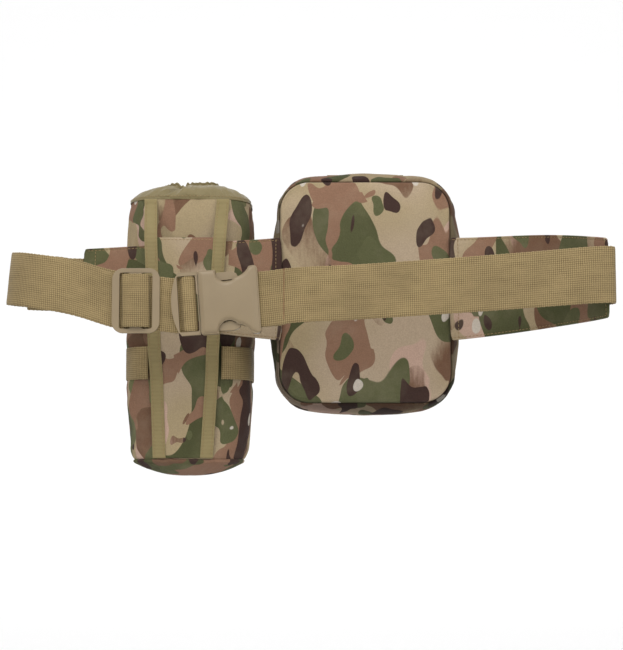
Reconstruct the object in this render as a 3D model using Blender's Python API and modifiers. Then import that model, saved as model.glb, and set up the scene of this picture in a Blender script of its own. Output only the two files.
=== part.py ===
"""Waist pack: camouflage wings, zipped pouch, bottle pouch and a webbing belt with a side-release buckle.

Metres, +Z up. The origin is the centre of the main pouch's flat back face, which faces -Y, towards
the wearer. +X points to the right wing, +Y to the pouch's zipped front.
"""

import math

import bmesh
import bpy
from mathutils import Matrix, Vector

GAP = 0.0003                    # kept between pieces that touch
WALL = 0.002                    # padded fabric wall

# Main pouch
PANEL_W, PANEL_H, PANEL_R = 0.160, 0.210, 0.034
BULGE = 0.012                   # how far the gusset swells past the panels
POUCH_DEPTH = 0.070
ZIP_Y = 0.0355                  # plane where the two halves of the pouch meet
TEETH_W = 0.0015
COVER_HINGE_Z = -(PANEL_H / 2 + BULGE - WALL / 2)
HINGE_SEAM_R = 0.0011
ZIP_END_RISE = 0.008            # the zip's ends stand this far above the sewn bottom edge
FOAM_T = 0.005

# Front pocket and its zip
POCKET_W, POCKET_H, POCKET_R, POCKET_DEPTH = 0.130, 0.104, 0.018, 0.016
POCKET_Z = -0.038
POCKET_ZIP_Z = -0.002
POCKET_ZIP_L, ZIP_TAPE_W, ZIP_TAPE_T = 0.104, 0.009, 0.0012
POCKET_SLIDER_X = 0.044

# Sliders and their pulls
SLIDER_L, SLIDER_W, SLIDER_H = 0.010, 0.009, 0.003
SLIDER_X = 0.008                # each main slider's distance from the middle when the pouch is closed
PULL_L, PULL_W, PULL_T = 0.030, 0.006, 0.0012
PULL_HEEL = 0.0006              # how far a pull reaches past its pin

# Wings
WING_T = 0.0036
WING_ROOT_Z = (-0.0475, 0.0530)
WING_ROOT_X, LEFT_WING_END_X = 0.0806, -0.2745
LEFT_WING_END_Z = (-0.0261, 0.0422)
RIGHT_WING_END_Z = (-0.0359, 0.0359)
LEFT_WING_Y = 0.0005
RIGHT_WING_PLAN = [(WING_ROOT_X, -0.0025), (0.100, -0.0025), (0.130, -0.0130), (0.158, -0.0330),
                   (0.182, -0.0590), (0.200, -0.0850), (0.2100, -0.1070)]

# Belt webbing
WEB_W, WEB_T = 0.0505, 0.0018

# Side-release buckle, modelled in its own frame: x along the belt, origin in the female's mouth
BUCKLE_AT = Vector((-0.155, -0.0755, -0.0196))
BUCKLE_TILT = math.radians(4.0)
BUCKLE_T = 0.0130
CAVITY_L, CAVITY_H, CAVITY_T = 0.037, 0.0544, 0.0084
FEMALE_BAR_X, FEMALE_BAR_Y, BAR_R = 0.0475, 0.0012, 0.0022
WINDOW_L, WINDOW_H = 0.0180, 0.0512
MALE_BAR_X = -0.0100
LAYER_1_Y, LAYER_2_Y = 0.0023, 0.0044      # the two webbing layers behind the male frame
PRONG_PIVOT = (0.0045, 0.0215)
PRONG_T = 0.0072

# Tri-glide
TRI_AT = Vector((-0.2134, -0.0761, -0.0172))
TRI_W, TRI_H, TRI_R, TRI_T = 0.0434, 0.0594, 0.010, 0.0032
TRI_WINDOW_W, TRI_WINDOW_H, TRI_BAR_W = 0.0300, 0.0512, 0.0100

# Bottle pouch
BOTTLE_X, BOTTLE_BACK_Y = -0.1745, 0.0078
BOTTLE_DEPTH_LOSS = 0.008       # the section is this much less deep than it is wide
BOTTLE_SECTIONS = [(-0.1608, 0.1125), (-0.142, 0.1165), (-0.1015, 0.1200), (-0.075, 0.1222),
                   (0.060, 0.1242), (0.080, 0.1225), (0.0945, 0.1190)]
BASE_SECTIONS = [(-0.1625, 0.1120), (-0.1675, 0.0940), (-0.1722, 0.0700), (-0.1755, 0.0350)]
COLLAR_SECTIONS = [(0.0965, 0.1180), (0.1005, 0.1100), (0.1032, 0.1000), (0.1058, 0.0880),
                   (0.1073, 0.0740), (0.1075, 0.0600), (0.1125, 0.0610), (0.1130, 0.0680),
                   (0.1087, 0.0700)]
COLLAR_T = 0.001
CORD_R, CORD_RING_R, CORD_Z = 0.0013, 0.0325, 0.1093
STRIP_W, STRIP_T, TUNNEL_T = 0.0125, 0.0012, 0.0010
STRIP_LEFT_X, STRIP_RIGHT_X = (-0.2108, -0.1999), (-0.1400, -0.1545)
STRIP_TOP_Z, STRIP_BOTTOM_Z, TUNNEL_TOP_Z = 0.0925, -0.1600, 0.0530
TUNNEL_DEPTH = 0.0112           # how far the strips stand forward where the wing passes behind them
SIDE_STRAP_Z = (-0.084, -0.052)

# Cord lock on the far side of the collar
LOCK_R, LOCK_WALL = 0.0070, 0.0013
LOCK_SPRING_SIDE, LOCK_BUTTON_SIDE = 0.0130, 0.0090    # the barrel's reach either side of the cord
LOCK_FLOOR = 0.0015
BUTTON_TRAVEL = 0.003

CAMO = (0.30, 0.24, 0.16)
KHAKI = (0.33, 0.28, 0.15)
NYLON = (0.27, 0.25, 0.13)
PLASTIC = (0.31, 0.26, 0.17)
FOAM_GREY = (0.08, 0.08, 0.08)
ZIP_BROWN = (0.09, 0.07, 0.045)
STEEL = (0.55, 0.54, 0.50)


# ---------------------------------------------------------------- scene and helpers

for old in list(bpy.data.objects):
    bpy.data.objects.remove(old, do_unlink=True)

PARTS = bpy.data.collections.new("waist_pack")
CUTTERS = bpy.data.collections.new("cutters")
bpy.context.scene.collection.children.link(PARTS)
bpy.context.scene.collection.children.link(CUTTERS)


def part(name, data, colour, roughness=0.9, metallic=0.0, parent=None, local=False):
    """Link one named sub-part with its own material. Unless local, its data is in world space."""
    thing = bpy.data.objects.new(name, data)
    PARTS.objects.link(thing)
    look = bpy.data.materials.new(name)
    look.use_nodes = True
    shader = look.node_tree.nodes["Principled BSDF"]
    shader.inputs["Base Color"].default_value = (*colour, 1.0)
    shader.inputs["Roughness"].default_value = roughness
    shader.inputs["Metallic"].default_value = metallic
    data.materials.append(look)
    if parent:
        thing.parent = parent
        if not local:
            bpy.context.view_layer.update()
            thing.matrix_parent_inverse = parent.matrix_world.inverted()
    return thing


def pivot(name, location, parent=None, rotation=(0.0, 0.0, 0.0)):
    """An empty on a joint's axis, which the moving pieces hang from."""
    empty = bpy.data.objects.new(name, None)
    PARTS.objects.link(empty)
    empty.location = location
    empty.rotation_euler = rotation
    empty.parent = parent
    return empty


def finished(mesh, name):
    """Turn a bmesh into mesh data with its faces pointing outwards."""
    bmesh.ops.recalc_face_normals(mesh, faces=mesh.faces)
    data = bpy.data.meshes.new(name)
    mesh.to_mesh(data)
    mesh.free()
    return data


def extruded_rows(name, rows, closed=False, cap=False):
    """A surface swept through rows of points: each row is extruded from the one before it."""
    mesh = bmesh.new()
    row = [mesh.verts.new(point) for point in rows[0]]
    ends = row[1:] + row[:1] if closed else row[1:]
    edges = [mesh.edges.new(pair) for pair in zip(row, ends)]
    for points in rows[1:]:
        geometry = bmesh.ops.extrude_edge_only(mesh, edges=edges)["geom"]
        fresh = {item for item in geometry if isinstance(item, bmesh.types.BMVert)}
        edges = [item for item in geometry
                 if isinstance(item, bmesh.types.BMEdge) and fresh.issuperset(item.verts)]
        row = [next(edge.other_vert(vert) for edge in vert.link_edges
                    if edge.other_vert(vert) in fresh) for vert in row]
        for vert, point in zip(row, points):
            vert.co = point
    if cap:
        bmesh.ops.contextual_create(mesh, geom=edges)
    return finished(mesh, name)


def solid(thing, thickness):
    """Give an open surface its thickness, half to each side."""
    shell = thing.modifiers.new("thickness", "SOLIDIFY")
    shell.thickness = thickness
    shell.offset = 0.0
    shell.use_even_offset = True
    return thing


def smooth(points, steps=6):
    """A Catmull-Rom curve through points of any dimension, given as tuples."""
    points = [Vector(point) for point in points]
    padded = [2 * points[0] - points[1]] + points + [2 * points[-1] - points[-2]]
    result = []
    for before, start, end, after in zip(padded, padded[1:], padded[2:], padded[3:]):
        for step in range(steps):
            t = step / steps
            result.append(0.5 * (2 * start + (end - before) * t
                                 + (2 * before - 5 * start + 4 * end - after) * t ** 2
                                 + (3 * start - before - 3 * end + after) * t ** 3))
    return result + [points[-1]]


def band(name, path, width, thickness, colour, **options):
    """Webbing along a path of (x, y, z, lean): z is its centre line and lean tips its width."""
    low, high = [], []
    for x, y, z, lean in path:
        half = Vector((-math.sin(lean), 0.0, math.cos(lean))) * width / 2
        low.append(Vector((x, y, z)) - half)
        high.append(Vector((x, y, z)) + half)
    return solid(part(name, extruded_rows(name, [low, high]), colour, **options), thickness)


def arc(centre, radius, start, end, steps=6):
    """Points of an arc in a plane, angles in degrees."""
    angles = [math.radians(start + (end - start) * step / steps) for step in range(steps + 1)]
    return [(centre[0] + radius * math.cos(a), centre[1] + radius * math.sin(a)) for a in angles]


def rounded_rectangle(width, height, radius, steps=7):
    """From the bottom edge's right end, anticlockwise, to the bottom edge's left end."""
    x, z = width / 2 - radius, height / 2 - radius
    corners = [((x, -z), -90), ((x, z), 0), ((-x, z), 90), ((-x, -z), 180)]
    return [point for centre, start in corners
            for point in arc(centre, radius, start, start + 90, steps)]


def plate(name, outline, thickness, holes=(), bevel=0.0):
    """Mesh of a flat outline in x and z, centred on y = 0, from a filled 2D curve."""
    curve = bpy.data.curves.new(name, "CURVE")
    curve.dimensions = "2D"
    curve.fill_mode = "BOTH"
    curve.extrude = thickness / 2
    for loop in (outline, *holes):
        spline = curve.splines.new("POLY")
        spline.points.add(len(loop) - 1)
        for point, (x, z) in zip(spline.points, loop):
            point.co = (x, z, 0.0, 1.0)
        spline.use_cyclic_u = True
    data = curve_mesh(curve)
    data.transform(Matrix.Rotation(math.radians(90), 4, "X"))
    if bevel:
        data = rounded_edges(data, bevel)
    return data


def curve_mesh(curve):
    """Convert curve data to mesh data and remove the curve."""
    holder = bpy.data.objects.new("curve_holder", curve)
    CUTTERS.objects.link(holder)
    bpy.context.view_layer.update()
    evaluated = holder.evaluated_get(bpy.context.evaluated_depsgraph_get())
    data = bpy.data.meshes.new_from_object(evaluated)
    bpy.data.objects.remove(holder)
    bpy.data.curves.remove(curve)
    mesh = bmesh.new()
    mesh.from_mesh(data)
    bmesh.ops.remove_doubles(mesh, verts=mesh.verts, dist=1e-6)
    mesh.to_mesh(data)
    mesh.free()
    return data


def rounded_edges(data, width, angle=math.radians(50)):
    """Bevel the sharp edges of mesh data."""
    mesh = bmesh.new()
    mesh.from_mesh(data)
    sharp = [edge for edge in mesh.edges if edge.is_manifold and edge.calc_face_angle() > angle]
    bmesh.ops.bevel(mesh, geom=sharp, offset=width, segments=2, profile=0.5, affect="EDGES",
                    clamp_overlap=True)
    mesh.to_mesh(data)
    mesh.free()
    return data


def box_mesh(name, low, high, bevel=0.0):
    """Mesh of a box between two corners."""
    mesh = bmesh.new()
    size = [b - a for a, b in zip(low, high)]
    centre = [(a + b) / 2 for a, b in zip(low, high)]
    place = Matrix.Translation(centre) @ Matrix.Diagonal((*size, 1.0))
    bmesh.ops.create_cube(mesh, size=1.0, matrix=place)
    data = finished(mesh, name)
    return rounded_edges(data, bevel) if bevel else data


def block(name, centre, size, bevel=0.0):
    """Mesh of a box of a given size about a centre."""
    low = [c - s / 2 for c, s in zip(centre, size)]
    high = [c + s / 2 for c, s in zip(centre, size)]
    return box_mesh(name, low, high, bevel)


def cylinder_mesh(name, start, end, radius, segments=24):
    """Mesh of a cylinder between two points."""
    start, end = Vector(start), Vector(end)
    turn = (end - start).to_track_quat("Z", "Y").to_matrix().to_4x4()
    mesh = bmesh.new()
    bmesh.ops.create_cone(mesh, cap_ends=True, segments=segments, radius1=radius, radius2=radius,
                          depth=(end - start).length,
                          matrix=Matrix.Translation((start + end) / 2) @ turn)
    return finished(mesh, name)


def combine(thing, data, operation="DIFFERENCE"):
    """Cut mesh data from a part, or join it on, in the part's own frame."""
    tool = bpy.data.objects.new(f"{thing.name}_tool", data)
    CUTTERS.objects.link(tool)
    tool.hide_render = True
    tool.display_type = "WIRE"
    if thing.parent:
        tool.parent = thing.parent
        tool.matrix_parent_inverse = thing.matrix_parent_inverse
    step = thing.modifiers.new(operation.lower(), "BOOLEAN")
    step.operation = operation
    step.solver = "EXACT"
    step.object = tool


def tube(name, points, radius, colour, cyclic=False, **options):
    """A round cord or bar through points."""
    curve = bpy.data.curves.new(name, "CURVE")
    curve.dimensions = "3D"
    curve.bevel_depth = radius
    curve.bevel_resolution = 2
    curve.use_fill_caps = True
    spline = curve.splines.new("POLY")
    spline.points.add(len(points) - 1)
    for point, place in zip(spline.points, points):
        point.co = (*place, 1.0)
    spline.use_cyclic_u = cyclic
    return part(name, curve_mesh(curve), colour, **options)


# ---------------------------------------------------------------- main pouch

def pouch_ring(inset, y, width=PANEL_W, height=PANEL_H, radius=PANEL_R, centre_z=0.0):
    """The pouch's outline at depth y, inset from its widest outline."""
    grow = BULGE - inset
    outline = rounded_rectangle(width + 2 * grow, height + 2 * grow, radius + grow)
    return [(x, y, z + centre_z) for x, z in outline]


def gusset_rows(panel_y, seam_y, steps=4):
    """Rows of the gusset's middle surface, from the panel seam round the swell to the zip seam."""
    outward = 1 if seam_y > panel_y else -1
    swell = BULGE - WALL / 2
    rows = []
    for step in range(steps + 1):
        angle = math.radians(90) * step / steps
        rows.append(pouch_ring(BULGE - swell * math.sin(angle),
                               panel_y + outward * (BULGE - swell * math.cos(angle))))
    rows.append(pouch_ring(WALL / 2, seam_y))
    return rows


def moved(data, offset):
    """Shift mesh data."""
    data.transform(Matrix.Translation(offset))
    return data


def zip_row(name, y_near, y_far, **options):
    """One row of zip teeth round the pouch, ending above the sewn bottom edge."""
    lowest = COVER_HINGE_Z + ZIP_END_RISE
    rows = [[point for point in pouch_ring(WALL / 2, y) if point[2] > lowest]
            for y in (y_near, y_far)]
    solid(part(name, extruded_rows(name, rows), ZIP_BROWN, 0.5, **options), WALL)


def main_pouch():
    seam = ZIP_Y - TEETH_W - 2 * GAP
    rear = extruded_rows("rear_gusset", gusset_rows(0.0, seam), closed=True)
    solid(part("rear_gusset", rear, CAMO), WALL)
    inner = rounded_rectangle(PANEL_W - 2 * GAP, PANEL_H - 2 * GAP, PANEL_R - GAP)
    part("back_panel", moved(plate("back_panel", inner, WALL), (0, WALL / 2, 0)), CAMO)
    pad = rounded_rectangle(PANEL_W - 0.008, PANEL_H - 0.008, PANEL_R - 0.004)
    foam_y = WALL + GAP + FOAM_T / 2
    part("back_foam", moved(plate("back_foam", pad, FOAM_T), (0, foam_y, 0)), FOAM_GREY)
    lining_y = foam_y + FOAM_T / 2 + GAP + COLLAR_T / 2
    part("back_lining", moved(plate("back_lining", pad, COLLAR_T), (0, lining_y, 0)), NYLON)
    zip_row("zip_teeth_rear", seam + GAP, seam + GAP + TEETH_W)
    half = PANEL_W / 2 - PANEL_R - 0.002
    ends = [(x, ZIP_Y, COVER_HINGE_Z) for x in (-half, half)]
    part("bottom_hinge_seam", cylinder_mesh("bottom_hinge_seam", *ends, HINGE_SEAM_R, 12), CAMO)


def front_cover():
    """The front half of the pouch, which swings down on the seam along its bottom edge."""
    swing = pivot("cover_pivot", (0, ZIP_Y, COVER_HINGE_Z))
    seam = ZIP_Y + TEETH_W + 2 * GAP
    front = extruded_rows("front_gusset", gusset_rows(POUCH_DEPTH, seam), closed=True)
    solid(part("front_gusset", front, CAMO, parent=swing), WALL)
    inner = rounded_rectangle(PANEL_W - 2 * GAP, PANEL_H - 2 * GAP, PANEL_R - GAP)
    panel = moved(plate("front_panel", inner, WALL), (0, POUCH_DEPTH - WALL / 2, 0))
    part("front_panel", panel, CAMO, parent=swing)
    zip_row("zip_teeth_front", seam - GAP - TEETH_W, seam - GAP, parent=swing)
    front_pocket(swing)


def front_pocket(swing):
    """A flat pocket on the front panel with a zip across it near the top."""
    rim, lip = 0.006, POUCH_DEPTH + GAP
    face = lip + POCKET_DEPTH - WALL / 2
    rows = []
    for inset, y in ((0, lip), (0, face - rim), (0.3 * rim, face - 0.3 * rim), (rim, face)):
        outline = rounded_rectangle(POCKET_W - 2 * inset - WALL, POCKET_H - 2 * inset - WALL,
                                    POCKET_R - inset)
        rows.append([(x, y, z + POCKET_Z) for x, z in outline])
    shell = extruded_rows("pocket_shell", rows, closed=True, cap=True)
    solid(part("pocket_shell", shell, CAMO, parent=swing), WALL)
    tape_y = face + WALL / 2 + GAP + ZIP_TAPE_T / 2
    tape = block("pocket_zip", (0, tape_y, POCKET_ZIP_Z), (POCKET_ZIP_L, ZIP_TAPE_T, ZIP_TAPE_W))
    part("pocket_zip", tape, ZIP_BROWN, 0.5, parent=swing)
    slider_y = tape_y + ZIP_TAPE_T / 2 + GAP + SLIDER_H / 2
    at = Vector((POCKET_SLIDER_X, slider_y, POCKET_ZIP_Z))
    slide = pivot("pocket_slider_pivot", at - swing.location, swing)
    body = block("pocket_slider", at, (SLIDER_L, SLIDER_H, SLIDER_W), 0.0008)
    part("pocket_slider", body, STEEL, 0.4, 1.0, parent=slide)
    pin = at + Vector((0, SLIDER_H / 2 + GAP + PULL_T / 2, 0))
    hang = pivot("pocket_pull_pivot", pin - at, slide)
    drop = Vector((0, 0, -(PULL_L - PULL_HEEL) / 2))
    tab = block("pocket_pull", pin + drop, (PULL_W, PULL_T, PULL_L + PULL_HEEL), 0.0004)
    part("pocket_pull", tab, KHAKI, 0.7, parent=hang)


def main_sliders():
    """Two sliders on the zip's top run, closed together at the middle, with pulls lying outwards."""
    top = PANEL_H / 2 + BULGE + GAP
    for side, sign in (("left", -1), ("right", 1)):
        at = Vector((SLIDER_X * sign, ZIP_Y, top + SLIDER_H / 2))
        carriage = pivot(f"slider_{side}_pivot", at)
        body = block(f"slider_{side}", at, (SLIDER_L, SLIDER_W, SLIDER_H), 0.0008)
        part(f"slider_{side}", body, STEEL, 0.4, 1.0, parent=carriage)
        pin = at + Vector((0, 0, SLIDER_H / 2 + GAP + PULL_T / 2))
        hinge = pivot(f"pull_{side}_pivot", pin - at, carriage)
        reach = Vector((sign * (PULL_L - PULL_HEEL) / 2, 0, 0))
        tab = block(f"pull_{side}", pin + reach, (PULL_L + PULL_HEEL, PULL_W, PULL_T), 0.0004)
        part(f"pull_{side}", tab, KHAKI, 0.7, parent=hinge)


# ---------------------------------------------------------------- wings and belt

def wing(name, plan, root_z, end_z):
    """A padded wing: a plan curve with its lower and upper edges tapering along it."""
    run = [0.0]
    for before, after in zip(plan, plan[1:]):
        run.append(run[-1] + (Vector(after) - Vector(before)).length)
    rows = []
    for side in (0, 1):
        row = []
        for (x, y), s in zip(plan, run):
            t = s / run[-1]
            row.append((x, y, root_z[side] + (end_z[side] - root_z[side]) * t))
        rows.append(row)
    solid(part(name, extruded_rows(name, rows), CAMO), WING_T)


def left_wing_plan():
    ends = [(-WING_ROOT_X, -0.0025), (-0.088, -0.0022), (-0.098, LEFT_WING_Y - 0.0008),
            (-0.108, LEFT_WING_Y), (LEFT_WING_END_X, LEFT_WING_Y)]
    return [tuple(point) for point in smooth(ends[:4], 3)] + [ends[4]]


def right_wing_plan():
    return [tuple(point) for point in smooth(RIGHT_WING_PLAN, 4)]


def wings():
    wing("left_wing", left_wing_plan(), WING_ROOT_Z, LEFT_WING_END_Z)
    wing("right_wing", right_wing_plan(), WING_ROOT_Z, RIGHT_WING_END_Z)


def from_buckle(x, y, z=0.0):
    """A point of the buckle's frame, in world space."""
    cos, sin = math.cos(BUCKLE_TILT), math.sin(BUCKLE_TILT)
    return BUCKLE_AT + Vector((x * cos - z * sin, y, x * sin + z * cos))


def buckle_path(points):
    """Webbing path points given in the buckle's plan, leaning with it."""
    return [(*from_buckle(x, y), BUCKLE_TILT) for x, y in points]


def right_strap():
    """From the right wing's far face, round its end and across the front to the female's bar."""
    plan = right_wing_plan()
    away = WING_T / 2 + GAP + WEB_T / 2 + 0.0001
    path = []
    for before, (x, y), after in zip(plan, plan[1:], plan[2:]):
        ahead = (Vector(after) - Vector(before)).normalized()
        if x > 0.099:
            path.append((x - ahead.y * away, y + ahead.x * away, 0.0015, 0.0))
    path += smooth([path[-1], (0.2145, -0.1110, 0.0013, 0), (0.2128, -0.1172, 0.0013, 0),
                    (0.2060, -0.1196, 0.0012, 0), (0.1900, -0.1170, 0.0008, 0),
                    (0.1585, -0.1075, -0.0006, 0), (0.1150, -0.0985, -0.0030, 0),
                    (0.0533, -0.0880, -0.0062, 0), (-0.0187, -0.0800, -0.0100, 0.02),
                    (-0.0640, -0.0780, -0.0118, 0.05), *buckle_path([(0.0600, -0.0021)])], 4)[1:]
    loop_r = BAR_R + GAP + WEB_T / 2 + 0.0001
    centre = (FEMALE_BAR_X, FEMALE_BAR_Y)
    path += buckle_path(arc(centre, loop_r, -90, -270, 10))
    path += smooth([path[-1], *buckle_path([(0.0560, 0.0040), (0.0640, 0.0012), (0.0720, 0.0002)]),
                    (-0.0750, -0.0759, -0.0122, 0.06)], 2)[1:]
    band("strap_right", path, WEB_W, WEB_T, KHAKI)


def left_back_strap():
    """Sewn along the left wing's far face, then out to the fold."""
    y = LEFT_WING_Y + WING_T / 2 + GAP + WEB_T / 2 + 0.0001
    path = [(-0.0985, y, 0.0033, 0.0)]
    path += smooth([(-0.2745, y, 0.0080, 0), (-0.2960, 0.0012, 0.0082, 0),
                    (-0.3180, -0.0090, 0.0080, 0), (-0.3320, -0.0205, 0.0077, 0),
                    (-0.3382, -0.0295, 0.0076, 0), (-0.3394, -0.0347, 0.0075, 0)], 3)
    band("strap_left_back", path, WEB_W, WEB_T, KHAKI)


def left_front_strap(parent):
    """From the fold to the male's bar, round it and back to a short tail behind the front layer."""
    front_y, tail_y = BUCKLE_AT.y + LAYER_1_Y, BUCKLE_AT.y + LAYER_2_Y
    path = smooth([(-0.3394, -0.0355, 0.0075, 0), (-0.3384, -0.0408, 0.0070, 0),
                   (-0.3345, -0.0495, 0.0060, 0), (-0.3244, -0.0590, 0.0045, 0),
                   (-0.3035, -0.0690, 0.0012, 0), (-0.2833, -0.0725, -0.0020, 0),
                   (-0.2650, front_y, -0.0048, 0), (-0.1900, front_y, -0.0170, 0.02)], 4)
    path += smooth(buckle_path([(-0.0245, LAYER_1_Y), (-0.0188, LAYER_1_Y), (-0.0163, 0.0006),
                                (-0.0145, -0.0024), (-0.0125, -0.0031)]), 3)
    bend_r = (LAYER_2_Y + 0.0031) / 2
    path += buckle_path(arc((-0.0075, LAYER_2_Y - bend_r), bend_r, -90, 90, 8))
    path += buckle_path([(-0.0245, LAYER_2_Y)])
    path += smooth([(-0.1900, tail_y, -0.0165, 0.02), (-0.2650, tail_y, -0.0030, 0),
                    (-0.2833, -0.0702, -0.0012, 0), (-0.3015, -0.0672, 0.0000, 0),
                    (-0.3150, -0.0612, 0.0008, 0)], 4)
    band("strap_left_front", path, WEB_W, WEB_T, KHAKI, parent=parent)


# ---------------------------------------------------------------- side-release buckle

def mirrored(outline):
    """Close an upper half outline, given left to right, with its mirror image below."""
    return outline + [(x, -z) for x, z in reversed(outline)]


def female(frame):
    """Housing with a mouth for the prongs, side notches, and a webbing bar under its front plate."""
    upper = [(0.0, 0.0276), *arc((0.0016, 0.0274), 0.0016, 135, 90, 2), (0.0440, 0.0290),
             (0.0470, 0.0306), (0.0500, 0.0310), *arc((0.0508, 0.0278), 0.0032, 80, 0, 4)]
    body = part("buckle_female", plate("buckle_female", mirrored(upper), BUCKLE_T, bevel=0.0010),
                PLASTIC, 0.45, parent=frame, local=True)
    inner, back = CAVITY_H / 2, BUCKLE_T / 2 + 0.001
    combine(body, box_mesh("cavity", (-0.001, -CAVITY_T / 2, -inner), (CAVITY_L, CAVITY_T / 2, inner)))
    pocket_x, pocket_h = CAVITY_L + 0.003, 0.0260
    combine(body, box_mesh("pocket", (pocket_x, -0.0036, -pocket_h), (0.060, back, pocket_h)))
    for side in (-1, 1):
        for x, z, radius in ((0.0255, 0.0275, 0.0100), (0.0310, 0.0380, 0.0170)):
            combine(body, cylinder_mesh("notch", (x, -back, side * z), (x, back, side * z), radius, 40))
    reach = pocket_h + 0.0012
    ends = [(FEMALE_BAR_X, FEMALE_BAR_Y, z) for z in (-reach, reach)]
    combine(body, cylinder_mesh("bar", *ends, BAR_R, 16), "UNION")


def male(parent):
    """Frame with its curved outer bar, the webbing bar, and a guide tongue."""
    frame_y = (-0.0038, 0.0010)
    bow = arc((0.0390, 0.0), 0.0650, 180 - 22.5, 180 + 22.5, 8)
    outline = [(-0.0008, -0.0288), (-0.0008, 0.0288), (-0.0180, 0.0288), *bow, (-0.0180, -0.0288)]
    right = -0.0018
    window = rounded_rectangle(WINDOW_L, WINDOW_H, 0.0015, 3)
    window = [(x + right - WINDOW_L / 2, z) for x, z in window]
    data = plate("buckle_male", outline, frame_y[1] - frame_y[0], [window])
    data = rounded_edges(data, 0.0009)
    data = moved(data, (0, sum(frame_y) / 2, 0))
    body = part("buckle_male", data, PLASTIC, 0.45, parent=parent, local=True)
    reach = WINDOW_H / 2 + 0.001
    bar = box_mesh("bar", (MALE_BAR_X - 0.0025, -0.0016, -reach),
                   (MALE_BAR_X + 0.0025, 0.0011, reach), 0.0005)
    combine(body, bar, "UNION")
    combine(body, box_mesh("tongue", (-0.0010, -0.0016, -0.0040), (0.0300, 0.0011, 0.0040)), "UNION")
    for side in (-1, 1):
        low, high = sorted((side * 0.0170, side * 0.0262))
        combine(body, box_mesh("root", (-0.0010, -0.0030, low), (0.0012, 0.0011, high)), "UNION")


def prong(name, side, parent):
    """A spring arm with a thumb pad; it flexes inwards about its root."""
    x, z = PRONG_PIVOT
    hinge = pivot(f"{name}_pivot", (x, 0, side * z), parent)
    arm = [*arc((0, 0), 0.0027, 270, 90, 8), (0.0095, 0.0022), (0.0120, 0.0050), (0.0255, 0.0053),
           (0.0300, 0.0036), (0.0318, 0.0000), (0.0305, -0.0017)]
    outline = [(px, side * pz) for px, pz in arm]
    part(name, plate(name, outline, PRONG_T, bevel=0.0006), PLASTIC, 0.45, parent=hinge, local=True)


def tri_glide(parent):
    """Three-bar slider on the front layer, with the webbing arched over its centre bar."""
    holder = pivot("tri_glide_pivot", TRI_AT - parent.location, parent)
    outer = rounded_rectangle(TRI_W, TRI_H, TRI_R)
    slot_w = (TRI_WINDOW_W - TRI_BAR_W) / 2
    slots = []
    for side in (-1, 1):
        slot = rounded_rectangle(slot_w, TRI_WINDOW_H, 0.0020, 3)
        slots.append([(x + side * (TRI_BAR_W + slot_w) / 2, z) for x, z in slot])
    data = rounded_edges(plate("tri_glide", outer, TRI_T, slots), 0.0009)
    part("tri_glide", data, PLASTIC, 0.45, parent=holder, local=True)
    rise = [(0.0130, 0.0014), (0.0124, -0.0014), (0.0095, -0.0034)]
    arch = [(-x, y) for x, y in rise] + [(0, -0.0042)] + rise[::-1]
    path = smooth([(x, y, 0, 0) for x, y in arch], 3)
    band("tri_glide_webbing", path, WEB_W, WEB_T, KHAKI, parent=holder, local=True)


def belt():
    right_strap()
    left_back_strap()
    frame = pivot("buckle_frame", BUCKLE_AT, rotation=(0, -BUCKLE_TILT, 0))
    female(frame)
    release = pivot("release_pivot", (0, 0, 0), frame)
    male(release)
    prong("prong_upper", 1, release)
    prong("prong_lower", -1, release)
    strap_side = pivot("strap_side_pivot", BUCKLE_AT)
    left_front_strap(strap_side)
    tri_glide(strap_side)


# ---------------------------------------------------------------- bottle pouch

def bottle_ring(width, z, grow=0.0):
    """The pouch's section: a flat back towards the wearer, rounder towards the front."""
    depth = width - BOTTLE_DEPTH_LOSS
    back_r, front_r = 0.26 * width + grow, 0.42 * width + grow
    half = width / 2 + grow
    back, front = BOTTLE_BACK_Y - grow, BOTTLE_BACK_Y + depth + grow
    corners = [((half - back_r, back + back_r), back_r, -90),
               ((half - front_r, front - front_r), front_r, 0),
               ((front_r - half, front - front_r), front_r, 90),
               ((back_r - half, back + back_r), back_r, 180)]
    return [(BOTTLE_X + x, y, z) for centre, radius, start in corners
            for x, y in arc(centre, radius, start, start + 90, 7)]


def round_ring(width, z, blend):
    """A ring that goes from the pouch's section to a circle about the mouth as blend goes to 1."""
    section = bottle_ring(width, z)
    ring = []
    for index, point in enumerate(section):
        angle = math.radians(360 * (index + 0.5) / len(section) - 90)
        circle = Vector((BOTTLE_X + width / 2 * math.cos(angle),
                         mouth_y() + width / 2 * math.sin(angle), z))
        ring.append(Vector(point).lerp(circle, blend))
    return ring


def mouth_y():
    widest = max(width for _, width in BOTTLE_SECTIONS)
    return BOTTLE_BACK_Y + (widest - BOTTLE_DEPTH_LOSS) / 2


def bottle_shell(parent):
    rows = [bottle_ring(width - WALL, z, 0.0) for z, width in BOTTLE_SECTIONS]
    rows = [[(x, y + WALL / 2, z) for x, y, z in row] for row in rows]
    solid(part("bottle_body", extruded_rows("bottle_body", rows, closed=True), CAMO, parent=parent), WALL)
    widest = BASE_SECTIONS[0][1]
    base_rows = []
    for z, width in BASE_SECTIONS:
        ring = bottle_ring(widest, z)
        middle = Vector((BOTTLE_X, BOTTLE_BACK_Y + (widest - BOTTLE_DEPTH_LOSS) / 2, z))
        base_rows.append([middle.lerp(Vector(point), width / widest) for point in ring])
    base = extruded_rows("bottle_base", base_rows, closed=True, cap=True)
    solid(part("bottle_base", base, CAMO, parent=parent), WALL)
    collar_rows = []
    for index, (z, width) in enumerate(COLLAR_SECTIONS):
        collar_rows.append(round_ring(width, z, min(index / 4, 1.0)))
    collar = part("collar", extruded_rows("collar", collar_rows, closed=True), NYLON, 0.6, parent=parent)
    solid(collar, COLLAR_T)
    return collar


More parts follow.
